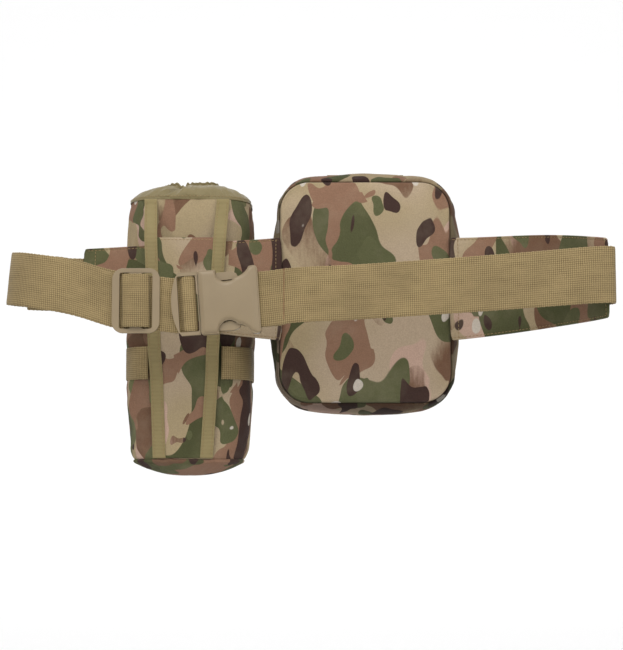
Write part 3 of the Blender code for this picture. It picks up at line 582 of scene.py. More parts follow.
def rounded_loop(width, height, radius, count):
    """Points and outward normals evenly round a rounded rectangle, from the middle of its bottom edge."""
    x, z = width / 2 - radius, height / 2 - radius
    corners = [((x, -z), -90), ((x, z), 0), ((-x, z), 90), ((-x, -z), 180)]
    points = [(0.0, -height / 2)]
    for centre, start in corners:
        points += arc(centre, radius, start, start + 90, 24)
    even = evenly(points, count=count, closed=True)
    inner = np.column_stack([np.clip(even[:, 0], -x, x), np.clip(even[:, 1], -z, z)])
    away = even - inner
    away /= np.linalg.norm(away, axis=1, keepdims=True)
    return even, away


def ripple(s, t, seed, scale):
    """Puckers at distance s along a seam and t away from it."""
    return rough(s * scale, t * scale * 0.25, seed)


# ---------------------------------------------------------------- main pouch

LOOP_COUNT = 260
GUSSET_ROWS = 20
SEAM_IN = 0.0052                # depth of the groove where the panel meets the gusset
ZIP_HALF_GAP = 0.0021
ZIP_END_Z = -0.1065             # the coil stops here, above the sewn bottom edge
ZIP_TOP_Z = 0.1168              # the zip's top run lies in a slight hollow, just under the sliders


# How far the gusset stands out past the panel, at fractions of the way round from the bottom's middle
REACH = [(0.0, 0.0102), (0.05, 0.0088), (0.09, 0.0054), (0.107, 0.0048), (0.14, 0.0052), (0.18, 0.0088),
         (0.25, 0.0128), (0.31, 0.0134), (0.345, 0.0088), (0.375, 0.0066), (0.393, 0.0066), (0.43, 0.0096),
         (0.50, 0.0122), (0.57, 0.0092), (0.607, 0.0052), (0.64, 0.0032), (0.68, 0.0068), (0.75, 0.0104),
         (0.80, 0.0104), (0.845, 0.0056), (0.875, 0.0040), (0.893, 0.0040), (0.95, 0.0084), (1.0, 0.0102)]
GUSSET_DEPTH = 0.024            # how deep the rounded part of the gusset is
LIP_OUT, LIP_Y = 0.09, 0.0016   # the gusset's edge beside the groove, as a share of its reach and in depth


def pouch_loop(count):
    """Points round the panel's edge with outward normals and the gusset's reach at each."""
    base, away = rounded_loop(PANEL_W, PANEL_H, PANEL_R, count)
    stations, values = zip(*REACH)
    reach = np.interp(np.arange(count) / count, stations, values)
    span = max(3, count // 60)
    window = np.hanning(2 * span + 1)
    padded = np.concatenate([reach[-span:], reach, reach[:span]])
    return base + (PANEL_X, PANEL_Z), away, np.convolve(padded, window / window.sum(), "valid")


def gusset(name, panel_y, seam_y, seed):
    """From the groove beside the panel, round the swollen edge, to the zip."""
    outward = 1 if seam_y > panel_y else -1
    base, away, reach = pouch_loop(LOOP_COUNT)
    depth = abs(seam_y - panel_y)
    rows = []
    for i in range(GUSSET_ROWS + 1):
        t = i / GUSSET_ROWS
        bend = min(t / 0.7, 1.0)
        angle = math.radians(90 * bend)
        out = LIP_OUT + (1 - LIP_OUT) * (0.55 * math.sin(angle) + 0.45 * bend)
        inward = LIP_Y + (GUSSET_DEPTH - LIP_Y) * (0.55 * (1 - math.cos(angle)) + 0.45 * bend)
        if i < 2:
            out, inward = (-0.04, SEAM_IN) if i == 0 else (0.02, 0.5 * (SEAM_IN + LIP_Y))
        if t > 0.7:
            inward = lerp(GUSSET_DEPTH, depth, (t - 0.7) / 0.3)
        row = []
        for j, ((x, z), (nx, nz)) in enumerate(zip(base, away)):
            s = j / LOOP_COUNT * 9.0
            pucker = 0.0005 * ripple(s, t, seed, 9.0) * (1 - ease((t - 0.05) / 0.45))
            roll = 0.0006 * ripple(s, 0.0, seed + 4.0, 2.3) * math.sin(math.pi * min(t * 1.6, 1.0))
            move = reach[j] * out + pucker + roll
            ceiling = lerp(0.1250, ZIP_TOP_Z, ease((t - 0.7) / 0.24))
            row.append((x + nx * move, panel_y + outward * inward, min(z + nz * move, ceiling)))
        rows.append(row)
    thing = surface(name, rows, closed=True)
    last = GUSSET_ROWS * LOOP_COUNT
    settle(thing, [*range(2 * LOOP_COUNT), *range(last - LOOP_COUNT, last + LOOP_COUNT)], 0.15, 0.008, 0.0010)
    return thickened(thing, 0.0012, 1.0 if outward > 0 else -1.0)


SIDE_MARKS = [0.0, 0.0007, 0.0015, 0.0025, 0.0038, 0.0055, 0.0080, 0.0115, 0.0160, 0.0210]


def edge_distance(x, z, width, height, radius):
    """How far a point inside a rounded rectangle is from its edge."""
    across, up = abs(x) - (width / 2 - radius), abs(z) - (height / 2 - radius)
    return radius - math.hypot(max(across, 0.0), max(up, 0.0)) - min(max(across, up), 0.0)


def panel_grid(width, height, radius, steps=14):
    """Rows of points that fill a rounded rectangle, closer together beside its edge."""
    corner = [height / 2 - radius + radius * math.cos(math.radians(90 * k / steps)) for k in range(steps)]
    count = max(8, int((height - 2 * radius) / 0.0032))
    middle = list(np.linspace(height / 2 - radius, radius - height / 2, count))
    levels = corner + middle + [-z for z in reversed(corner)]
    half = width / 2
    inner = half - SIDE_MARKS[-1]
    marks = [half - mark for mark in SIDE_MARKS[:-1]]
    marks += list(np.linspace(inner, -inner, int(2 * inner / 0.0032)))
    marks += [mark - half for mark in reversed(SIDE_MARKS[:-1])]
    rows = []
    for z in levels:
        beyond = max(abs(z) - (height / 2 - radius), 0.0)
        reach = half - radius + math.sqrt(max(radius ** 2 - beyond ** 2, 0.0))
        rows.append([(mark / half * reach, z) for mark in marks])
    return rows


def panel(name, width, height, radius, y, outward, crown, groove, seed, centre=(PANEL_X, PANEL_Z),
          pressure=0.3):
    """A sewn panel that dips into its seam and crowns slightly in the middle; outward is +1 or -1 in y."""
    rows, pinned = [], []
    for level in panel_grid(width, height, radius):
        row, start = [], len(rows) * len(level)
        for k, (x, z) in enumerate(level):
            edge = edge_distance(x, z, width, height, radius)
            rise = crown * ease((edge + 0.004) / 0.045) - groove * (1 - min(edge / 0.0018, 1.0)) ** 1.6
            rise -= 0.0007 * (1 - ease(edge / 0.012))
            along = math.atan2(z, x) * 0.09
            pucker = 0.00030 * rough(along * 110, edge * 60, seed) * math.exp(-edge / 0.012)
            broad = 0.0006 * rough(x * 28, z * 22, seed) * ease(edge / 0.02)
            row.append((x + centre[0], y + outward * (rise + pucker + broad), z + centre[1]))
            if edge < 0.0012:
                pinned.append(start + (k if outward > 0 else len(level) - 1 - k))
        rows.append(row[::outward])
    thing = surface(name, rows)
    settle(thing, pinned, pressure, 0.008, 0.0014)
    return thing


def zip_line(y, inset, count, lowest=ZIP_END_Z):
    """Points round the zip at depth y with their outward normals, ending above the sewn bottom edge."""
    line = []
    for (x, z), (nx, nz), reach in zip(*pouch_loop(count)):
        if z + nz * BULGE > lowest:
            top = min(z + nz * (reach - inset), ZIP_TOP_Z - inset)
            line.append((x + nx * (reach - inset), y, top, nx, nz))
    return line


COIL_PITCH, COIL_WIDTH = 0.0016, 0.0017
# A coil loop's rings: place across the tape, half its length as a share of 1 mm, and half its height
COIL = ((0.0, 0.45, 0.0003), (0.45, 0.50, 0.0008), (0.85, 0.42, 0.0006), (1.0, 0.25, 0.0002))


def zip_teeth(name, y, across, body, stands_for):
    """A nylon coil: small loops standing out of a narrow tape."""
    run = evenly(zip_line(y, 0.0012, 1200), spacing=COIL_PITCH)
    points, faces = [], []
    for (x, _, z, nx, nz), (next_x, _, next_z, _, _) in zip(run, run[1:]):
        ahead = Vector((next_x - x, 0, next_z - z)).normalized()
        up, side = Vector((nx, 0, nz)).normalized(), Vector((0, across, 0))
        faces += prism(len(points), len(COIL), 4)
        for t, half, height in COIL:
            for a, b in ((-1, -1), (1, -1), (1, 1), (-1, 1)):
                points.append(Vector((x, y, z)) + side * (t * COIL_WIDTH) + ahead * (a * half * 0.0010)
                              + up * (b * height))
    dressed(piece(name, points, faces), ZIP_LOOK, body, (stands_for,))


def zip_tape(name, y_near, y_far, body):
    """The woven tape under the coil, folded in from the gusset's edge."""
    rows = []
    for y, inset in ((y_near, 0.0004), (lerp(y_near, y_far, 0.5), 0.0012), (y_far, 0.0016)):
        line = zip_line(y, inset, 500, ZIP_END_Z - 0.003)
        rows.append([(x - nx * 0.0006, y, z - nz * 0.0006) for x, _, z, nx, nz in line])
    dressed(thickened(surface(name, rows), 0.0006), BINDING_LOOK, body)


def main_pouch():
    camo = camouflage("camo_panel", (2.31, 1.62, 0.155), scale=1.5)
    # The gusset's cloth carries painted shade: darkened overall, and more in the fold beside the panel
    rim = camouflage("camo_gusset_painted_shade", (1.27, 0.4, 0.9), shade=0.22, fold=0.50)
    back = panel("back_cover", PANEL_W, PANEL_H, PANEL_R, 0.0, -1, 0.0030, SEAM_IN, 1.0)
    thickened(back, 0.0012, 1.0)
    dressed(back, camo, "pack", ("back_panel", "back_foam"))
    lining = panel("back_lining_quilt", 0.156, 0.206, 0.032, 0.0084, 1, 0.0012, 0.0008, 5.0)
    dressed(thickened(lining, 0.0006), LINING_LOOK, "pack", ("back_lining",))
    rear = gusset("rear_gusset_cloth", 0.0, ZIP_Y - ZIP_HALF_GAP, 3.0)
    dressed(rear, rim, "pack", ("rear_gusset",))
    front = gusset("front_gusset_cloth", POUCH_DEPTH, ZIP_Y + ZIP_HALF_GAP, 8.0)
    dressed(front, rim, "cover", ("front_gusset",))
    face = panel("front_cover_cloth", PANEL_W, PANEL_H, PANEL_R, POUCH_DEPTH, 1, 0.0006, SEAM_IN, 9.0)
    thickened(face, 0.0012, -1.0)
    dressed(face, camouflage("camo_front", (0.9, 2.2, 1.4)), "cover", ("front_panel",))
    sides = (("rear", 1, "pack"), ("front", -1, "cover"))
    for side, across, body in sides:
        zip_teeth(f"zip_coil_{side}", ZIP_Y - across * 0.0018, across, body, f"zip_teeth_{side}")
    for side, across, body in sides:
        zip_tape(f"zip_tape_{side}", ZIP_Y - across * 0.0040, ZIP_Y - across * 0.0014, body)
    hinge_cloth(rim)
    front_pocket(camo)


def hinge_cloth(look):
    """The fabric that joins the two halves along the bottom."""
    bottom = []
    for (x, z), (nx, nz), reach in zip(*pouch_loop(600)):
        if z + nz * BULGE < ZIP_END_Z + 0.0015:
            bottom.append((x + nx * (reach - 0.0008), z + nz * (reach - 0.0008)))
    bottom = evenly(sorted(bottom), count=60)
    rows = []
    for t in np.linspace(0, 1, 9):
        sag = 0.0004 * math.sin(math.pi * t)
        rows.append([(x, lerp(ZIP_Y - 0.0045, ZIP_Y + 0.0045, t), z - sag) for x, z in bottom])
    thing = thickened(surface("bottom_hinge_cloth", rows), 0.0010)
    dressed(thing, look, None, ("bottom_hinge_seam",))
    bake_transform(thing)


def front_pocket(look):
    """Flat pocket: a folded rim and a face sewn into it."""
    depth, fold = POCKET_FACE_Y - POCKET_BACK_Y, 0.004
    base, away = rounded_loop(POCKET_W - 0.002, POCKET_H - 0.002, POCKET_R, LOOP_COUNT)
    steps = [(0.0006 * k / 6, 0.0008 + (depth - fold) * k / 6) for k in range(6)]
    for k in range(7):
        angle = math.radians(105 * k / 6)
        steps.append((0.0006 + fold * (1 - math.cos(angle)), depth - fold + fold * math.sin(angle)))
    rows = []
    for inset, rise in steps:
        row = []
        for j, ((x, z), (nx, nz)) in enumerate(zip(base, away)):
            pucker = 0.0005 * ripple(j / LOOP_COUNT * 9, 0.0, 7.0, 8.0) * ease(rise / depth)
            move = inset - pucker
            row.append((x - nx * move, POCKET_BACK_Y + rise, z - nz * move + POCKET_Z))
        rows.append(row)
    rim = surface("pocket_rim_cloth", rows, closed=True)
    settle(rim, [*range(LOOP_COUNT), *range(11 * LOOP_COUNT, 13 * LOOP_COUNT)], 0.1, 0.01, 0.001)
    thickened(rim, 0.0011, -1.0)
    dressed(rim, look, "cover", ("pocket_shell",))
    face = panel("pocket_face_cloth", POCKET_W - 0.0085, POCKET_H - 0.0085, POCKET_R - 0.0035,
                 POCKET_FACE_Y - 0.0004, 1, 0.0004, 0.0016, 12.0, (0.0, POCKET_Z), 0.15)
    thickened(face, 0.0011, -1.0)
    dressed(face, look, "cover", ())


# ---------------------------------------------------------------- wings

WING_ACROSS = (0.0, 0.005, 0.012, 0.022, 0.034, 0.05, 0.08, *np.linspace(0.12, 0.88, 20), 0.92, 0.95, 0.966,
               0.978, 0.988, 0.995, 1.0)
LEFT_PLAN = [(p.x, p.y) for p in smooth([(-ROOT_X - 0.0012, -0.0025), (-0.088, -0.0022),
                                         (-0.098, LEFT_WING_Y - 0.0008), (-0.108, LEFT_WING_Y)], 3)]
LEFT_PLAN.append((LEFT_END_X, LEFT_WING_Y))
RIGHT_PLAN = [(p.x, p.y) for p in smooth([(ROOT_X - 0.0012, -0.0025), (0.100, -0.0025), (0.130, -0.0130),
                                          (0.158, -0.0330), (0.182, -0.0590), (0.200, -0.0850),
                                          (0.2100, -0.1070)], 4)]


LEFT_BOW, RIGHT_BOW = (0.0, 0.0), (0.0018, 0.0058)     # how far the long edges bulge upwards


def wing_frame(plan, end_z, bow):
    """Stations along a wing: its plan line, the distance along it, and its lower and upper edges."""
    line = evenly(plan, spacing=0.0030)
    run = run_of(line)
    share = run / run[-1]
    edges = [lerp(ROOT_Z[k], end_z[k], share) + bow[k] * np.sin(math.pi * share) for k in (0, 1)]
    return line, run, *edges


def wing_thickness(edge, from_end):
    """Full in the middle, pressed flat by the stitch lines near the edges."""
    thick = lerp(0.0018, 0.0030, ease(abs(edge - 0.0024) / 0.0016)) if edge < 0.004 else 0.0030
    thick += 0.0013 * ease((edge - 0.004) / 0.02)
    if from_end < 0.0046:
        thick *= lerp(0.62, 1.0, ease(abs(from_end - 0.0024) / 0.002))
    return thick


def wing(side, plan, end_z, look, seed, bow):
    """A padded wing: pillowed between stitch lines that run close to its two long edges."""
    line, run, lows, highs = wing_frame(plan, end_z, bow)
    rows = []
    for (x, y), (ahead_x, ahead_y), s, low, high in zip(line, headings(line), run, lows, highs):
        faces = []
        for face in (-1, 1):
            row = []
            for v in WING_ACROSS:
                edge = min(v, 1 - v) * (high - low)
                roll = math.sqrt(max(0.0, 1 - (1 - min(edge / 0.0012, 1.0)) ** 2))
                wavy = 0.0007 * rough(s * 30, v * 3.0, seed + face) * ease(edge / 0.012)
                pucker = 0.00025 * rough(s * 260, v * 4.0, seed) * math.exp(-edge / 0.006)
                off = face * (wing_thickness(edge, run[-1] - s) / 2 * roll + wavy * 0.8 + pucker)
                row.append((x - ahead_y * off, y + ahead_x * off, lerp(low, high, v)))
            faces.append(row)
        rows.append(faces[0] + faces[1][::-1][1:-1])
    thing = surface(f"{side}_wing_pad", rows, closed=True, ends=(0, -1))
    rounded(thing)
    dressed(thing, look, "pack", (f"{side}_wing",))
    return thing


def wing_stitches(side, plan, end_z, bow, end_shift, toward, tree):
    """Lines beside a wing's long edges and its end on both faces, and one across its root."""
    line, run, lows, highs = wing_frame(plan, end_z, bow)
    inner = run <= run[-1] - 0.003
    low = [(x, y, z + 0.0024) for (x, y), z in zip(line[inner], lows[inner])]
    high = [(x, y, z - 0.0024) for (x, y), z in zip(line[inner], highs[inner])]
    end_x, end_y, _ = low[-1]
    end = [(end_x + end_shift, end_y, z) for z in np.linspace(low[-1][2], high[-1][2], 24)]
    root_x = math.copysign(0.0880, end_x)
    root = [(root_x, -0.0024, z) for z in np.linspace(ROOT_Z[0] + 0.002, ROOT_Z[1] - 0.002, 30)]
    for face, way in (("near", toward), ("far", tuple(-c for c in toward))):
        stitches(f"{side}_wing_stitches_{face}", [low, high, end], "pack", tree, way)
    stitches(f"{side}_wing_root_stitches", [root], "pack", tree)


def wings():
    left_camo = camouflage("camo_left_wing", (1.6, 0.2, 2.3), (0, math.radians(80), 0))
    right_camo = camouflage("camo_right_wing", (0.62, 1.5, 0.81), (0, 0, math.radians(-45)))
    left = wing("left", LEFT_PLAN, LEFT_END_Z, left_camo, 2.0, LEFT_BOW)
    right = wing("right", RIGHT_PLAN, RIGHT_END_Z, right_camo, 6.0, RIGHT_BOW)
    wing_stitches("left", LEFT_PLAN, LEFT_END_Z, LEFT_BOW, 0.0085, (0, 1, 0), skin_of(left))
    wing_stitches("right", RIGHT_PLAN, RIGHT_END_Z, RIGHT_BOW, 0.0, (0.62, 0.78, 0), skin_of(right))


# ---------------------------------------------------------------- belt

def from_buckle(x, y, z=0.0):
    cos, sin = math.cos(BUCKLE_TILT), math.sin(BUCKLE_TILT)
    return BUCKLE_AT + Vector((x * cos - z * sin, y, x * sin + z * cos))


def buckle_path(points):
    return [(*from_buckle(x, y), BUCKLE_TILT) for x, y in points]


def fold_lean(x):
    """How far the belt's top edge lags behind its bottom edge towards the fold at the left end."""
    return 0.0042 * ease((-0.3000 - x) / 0.0350)


STRAP_ACROSS = (-0.5, -0.497, -0.488, -0.47, -0.44, *np.linspace(-0.38, 0.38, 9), 0.44, 0.47, 0.488,
                0.497, 0.5)
SELVEDGE_PITCH = 0.0023


def strap(name, path, width=WEB_W, thickness=WEB_T, spacing=0.0018, seed=0.0, lean_at=None):
    """Webbing along (x, y, z, lean) points, with rounded selvedges and a little waviness."""
    path = evenly(path, spacing=spacing)
    points = path[:, :3]
    run = run_of(points)
    rows = []
    for point, forward, lean, s in zip(points, headings(points), path[:, 3], run):
        up = np.array([-math.sin(lean), 0.0, math.cos(lean)])
        out = np.cross(forward, up)
        out /= np.linalg.norm(out)
        edge_wobble = 0.00022 * math.sin(s / SELVEDGE_PITCH * math.pi)
        faces = []
        for side in (-1, 1):
            row = []
            for v in STRAP_ACROSS:
                round_off = math.sqrt(max(0.0, 1 - (abs(v) / 0.5) ** 24)) if abs(v) > 0.43 else 1.0
                stretch = 1 + edge_wobble / width * 2 * ease((abs(v) - 0.4) / 0.1)
                cup = 0.0003 * rough(s * 18, v * 2, seed)
                place = point + up * (v * width * stretch) + out * (side * thickness / 2 * round_off + cup)
                if lean_at:
                    place[0] += lean_at(point[0]) * (v + 0.5)
                    place[2] += 0.3 * lean_at(point[0]) * (0.5 - v)
                row.append(place)
            faces.append(row)
        rows.append(faces[0] + faces[1][::-1][1:-1])
    # UVs run along the strap and across it, the same on both faces
    around, along = len(rows[0]), run_of([np.mean(row, axis=0) for row in rows])
    across = [np.linalg.norm(rows[0][min(j, around - j)] - rows[0][0]) for j in range(around)]
    return surface(name, rows, closed=True, ends=(0, -1), uv=lambda i, j: (along[i], across[j % around]))


def right_strap_path():
    away = WING_T / 2 + WEB_T / 2 + 0.0008
    path = []
    for before, (x, y), after in zip(RIGHT_PLAN, RIGHT_PLAN[1:], RIGHT_PLAN[2:]):
        ahead = (Vector(after) - Vector(before)).normalized()
        if x > 0.099:
            path.append((x - ahead.y * away, y + ahead.x * away, 0.0015, 0.0))
    path += smooth([path[-1], (0.2145, -0.1110, 0.0013, 0), (0.2128, -0.1172, 0.0013, 0),
                    (0.2060, -0.1196, 0.0012, 0), (0.1900, -0.1170, 0.0008, 0),
                    (0.1585, -0.1075, -0.0006, 0), (0.1150, -0.0985, -0.0030, 0),
                    (0.0533, -0.0880, -0.0062, 0), (-0.0187, -0.0800, -0.0100, 0.02),
                    (-0.0640, -0.0780, -0.0118, 0.05), *buckle_path([(0.0600, -0.0021)])], 6)[1:]
    loop_r = 0.0022 + 0.0003 + WEB_T / 2 + 0.0001
    path += buckle_path(arc((0.0475, 0.0012), loop_r, -90, -270, 14))
    path += smooth([path[-1], *buckle_path([(0.0560, 0.0040), (0.0640, 0.0012), (0.0720, 0.0002)]),
                    (-0.0750, -0.0759, -0.0122, 0.06)], 3)[1:]
    return path


def left_strap_paths():
    y = LEFT_WING_Y + WING_T / 2 + WEB_T / 2 + 0.0008
    front_y, tail_y = BUCKLE_AT.y + 0.0023, BUCKLE_AT.y + 0.0044
    back = [(-0.0985, y, 0.0033, 0.0)]
    back += smooth([(-0.2745, y, 0.0080, 0), (-0.2960, 0.0012, 0.0082, 0), (-0.3180, -0.0090, 0.0080, 0),
                    (-0.3320, -0.0205, 0.0077, 0), (-0.3386, -0.0315, 0.0076, 0),
                    (-0.3388, -0.0400, 0.0071, 0), (-0.3345, -0.0495, 0.0060, 0),
                    (-0.3244, -0.0590, 0.0045, 0), (-0.3035, -0.0690, 0.0012, 0),
                    (-0.2833, -0.0725, -0.0022, 0), (-0.2650, front_y, -0.0068, 0.025),
                    (-0.2330, front_y, -0.0167, 0.045), (-0.2050, front_y, -0.0189, 0.05),
                    (-0.1900, front_y, -0.0199, 0.065)], 6)
    back += smooth(buckle_path([(-0.0245, 0.0023), (-0.0188, 0.0023), (-0.0163, 0.0006), (-0.0145, -0.0024),
                                (-0.0125, -0.0031)]), 4)
    bend_r = (0.0044 + 0.0031) / 2
    back += buckle_path(arc((-0.0075, 0.0044 - bend_r), bend_r, -90, 90, 10))
    back += buckle_path([(-0.0245, 0.0044)])
    back += smooth([(-0.1900, tail_y, -0.0198, 0.065), (-0.2330, tail_y, -0.0140, 0.03),
                    (-0.2650, tail_y, -0.0052, 0),
                    (-0.2833, -0.0702, -0.0012, 0), (-0.3015, -0.0672, 0.0000, 0),
                    (-0.3150, -0.0612, 0.0008, 0)], 5)
    return back


def belt():
    right = dressed(strap("belt_right_webbing", right_strap_path(), seed=2.0), WEBBING_LOOK, "pack",
                    ("strap_right",))
    left = dressed(strap("belt_left_webbing", left_strap_paths(), seed=5.0, lean_at=fold_lean),
                   WEBBING_LOOK, None, ("strap_left_back", "strap_left_front"))
    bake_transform(left)
    rise = [(0.0112, 0.0006), (0.0118, -0.0006), (0.0110, -0.0024), (0.0080, -0.0042), (0.0042, -0.0052)]
    arch = [(-x, y) for x, y in rise] + [(0, -0.0053)] + rise[::-1]
    bight = [(TRI_AT.x + x, TRI_AT.y + y, TRI_AT.z, 0.02) for x, y in smooth(arch, 4)]
    glide = strap("tri_glide_bight", bight, 0.0486, spacing=0.0010, seed=7.0)
    dressed(glide, WEBBING_LOOK, "tri_glide", ("tri_glide_webbing",))
    for name in ("buckle_female", "buckle_male", "prong_upper", "prong_lower", "tri_glide"):
        shade(name, PLASTIC_LOOK)
    zigzag = [(-0.0787 + 0.0006 * (-1) ** k, -0.084, z)
              for k, z in enumerate(np.arange(-0.0345, 0.0145, 0.0021))]
    stitches("belt_zigzag", [zigzag], "pack", skin_of(right), (0, 1, 0), 0.0023, 0.0023, 0.00040,
             BROWN_THREAD_LOOK)
    buckle_face()


FACE_Y = -0.0067                # just proud of the female's flat front
FACE_CROWN = 0.0016
NOTCHES = ((0.0255, 0.0275, 0.0109), (0.0310, 0.0380, 0.0179))


def face_half_height(x):
    """Half the height of the female's front at a distance from its mouth, inside its notches and ears."""
    half = lerp(0.0280, 0.0300, ease((x - 0.044) / 0.007))
    for centre_x, centre_z, radius in NOTCHES:
        if abs(x - centre_x) < radius:
            half = min(half, centre_z - math.sqrt(radius ** 2 - (x - centre_x) ** 2))
    return half


def buckle_face():
    """The crowned front of the female's housing."""
    rows = []
    for x in np.linspace(0.0008, 0.0530, 54):
        half = face_half_height(x)
        ends = ease((x - 0.0008) / 0.0035) * ease((0.0530 - x) / 0.0060)
        row = []
        for v in (-1.0, -0.985, -0.95, -0.9, -0.82, *np.linspace(-0.7, 0.7, 15), 0.82, 0.9, 0.95, 0.985, 1.0):
            inside = (1 - abs(v)) * half
            crown = FACE_CROWN * ends * (0.55 * ease(inside / 0.0022) + 0.45 * (1 - v * v))
            row.append(from_buckle(x, FACE_Y - crown, v * half))
        rows.append(row)
    thing = surface("buckle_face", rows)
    dressed(thickened(thing, 0.0005, 0.0), PLASTIC_LOOK, "pack")


def shade(name, look, angle=35):
    """Give a carried-over CAD node its material, smooth faces and crisp edges."""
    data = nodes[name].data
    data.materials.clear()
    data.materials.append(look)
    data.polygons.foreach_set("use_smooth", [True] * len(data.polygons))
    data.set_sharp_from_angle(angle=math.radians(angle))


# ---------------------------------------------------------------- bottle pouch

BOTTLE_COUNT = 176


def bottle_ring(width, z, grow=0.0, count=BOTTLE_COUNT):
    """The pouch's section at a height, evenly spaced from the middle of its back."""
    depth = width - BOTTLE_DEPTH_LOSS
    back_r, front_r = 0.26 * width + grow, 0.42 * width + grow
    half = width / 2 + grow
    back, front = BOTTLE_BACK_Y - grow, BOTTLE_BACK_Y + depth + grow
    corners = [((half - back_r, back + back_r), back_r, -90), ((half - front_r, front - front_r), front_r, 0),
               ((front_r - half, front - front_r), front_r, 90),
               ((back_r - half, back + back_r), back_r, 180)]
    points = [(0.0, back)]
    for centre, radius, start in corners:
        points += arc(centre, radius, start, start + 90, 16)
    return evenly([(BOTTLE_X + x, y, z) for x, y in points], count=count, closed=True)


# Height and width of the sleeve, from its bottom seam to its top
BOTTLE_PROFILE = [(-0.1612, 0.1040), (-0.1600, 0.1068), (-0.155, 0.1115), (-0.148, 0.1148), (-0.135, 0.1170),
                  (-0.1015, 0.1200), (-0.0900, 0.1206), (-0.0840, 0.1196), (-0.0520, 0.1206),
                  (-0.0440, 0.1228), (0.060, 0.1242), (0.080, 0.1228), (0.0900, 0.1205), (0.0945, 0.1185)]
# The same for the bottom, down to its middle
BASE_PROFILE = [(-0.1612, 0.1030), (-0.1622, 0.1056), (-0.1640, 0.1040), (-0.1670, 0.0920), (-0.1700, 0.0770),
                (-0.1724, 0.0610), (-0.1742, 0.0430), (-0.1752, 0.0250), (-0.1757, 0.0080)]
BASE_W = 0.1050


def bottle_sleeve(look):
    rows = []
    for z, width in evenly(BOTTLE_PROFILE, count=66):
        row = []
        from_seam = min(z - BOTTLE_PROFILE[0][0], BOTTLE_PROFILE[-1][0] - z)
        for j, (x, y, _) in enumerate(bottle_ring(width - 0.002, z)):
            a = 2 * math.pi * j / BOTTLE_COUNT
            away = Vector((x - BOTTLE_X, y + 0.001 - BOTTLE_MOUTH_Y, 0)).normalized()
            fold = 0.0011 * rough_ring(a, 2.4, z * 9) + 0.0006 * rough_ring(a, 5, z * 30)
            pucker = 0.0005 * rough_ring(a, 22, 2.0) * math.exp(-from_seam / 0.008)
            move = fold * ease(from_seam / 0.02) + pucker
            row.append((x + away.x * move, y + 0.001 + away.y * move, z))
        rows.append(row)
    thing = surface("bottle_sleeve", rows, closed=True)
    last = (len(rows) - 1) * BOTTLE_COUNT
    settle(thing, [*range(BOTTLE_COUNT), *range(last, last + BOTTLE_COUNT)], 0.0, 0.014, 0.0022)
    dressed(thickened(thing, 0.0014), look, "bottle_pouch", ("bottle_body",))


def bottle_bottom(look):
    rows = []
    for z, width in smooth(BASE_PROFILE, 3):
        middle = np.array((BOTTLE_X, BOTTLE_BACK_Y + (BASE_W - BOTTLE_DEPTH_LOSS) / 2, z))
        row = middle + (bottle_ring(BASE_W, z) - middle) * (width / BASE_W)
        for j in range(len(row)):
            row[j][2] += 0.0008 * rough_ring(2 * math.pi * j / BOTTLE_COUNT, 9, width * 20) * width / BASE_W
        rows.append(row)
    thing = surface("bottle_bottom", rows, closed=True, ends=(-1,))
    settle(thing, range(3 * BOTTLE_COUNT), 0.1, 0.01, 0.0012)
    thickened(thing, 0.0014, subdivide=False)
    dressed(thing, look, "bottle_pouch", ("bottle_base",))


# Height, width and how round the collar is, from its hem over the folds and down into the mouth
COLLAR_PROFILE = [(0.0925, 0.1204, 0.0), (0.0955, 0.1198, 0.1), (0.0985, 0.1150, 0.3), (0.1015, 0.1060, 0.5),
                  (0.1040, 0.0950, 0.7), (0.1058, 0.0840, 0.85), (0.1070, 0.0740, 1.0), (0.1078, 0.0665, 1.0),
                  (0.1090, 0.0645, 1.0), (0.1108, 0.0655, 1.0), (0.1114, 0.0622, 1.0), (0.1094, 0.0592, 1.0),
                  (0.1066, 0.0582, 1.0)]
# Broad folds of the gathered cloth: angle round the mouth in degrees, width in degrees, lift in metres
COLLAR_FOLDS = [(-118, 20, 0.0026), (-104, 7, -0.0030), (-92, 12, 0.0018), (-66, 18, 0.0022),
                (-46, 15, 0.0026), (-24, 9, -0.0014), (-15, 16, 0.0016), (20, 12, -0.0014), (48, 18, 0.0022),
                (80, 9, -0.0020), (104, 16, 0.0020), (135, 10, -0.0016), (160, 18, 0.0018),
                (190, 9, -0.0018), (212, 15, 0.0014)]


def gather(degrees):
    """Height of the collar's broad folds in a direction, in metres."""
    total = 0.0
    for centre, width, lift in COLLAR_FOLDS:
        away = (degrees - centre + 180) % 360 - 180
        total += lift * math.exp(-(away / width) ** 2)
    return total


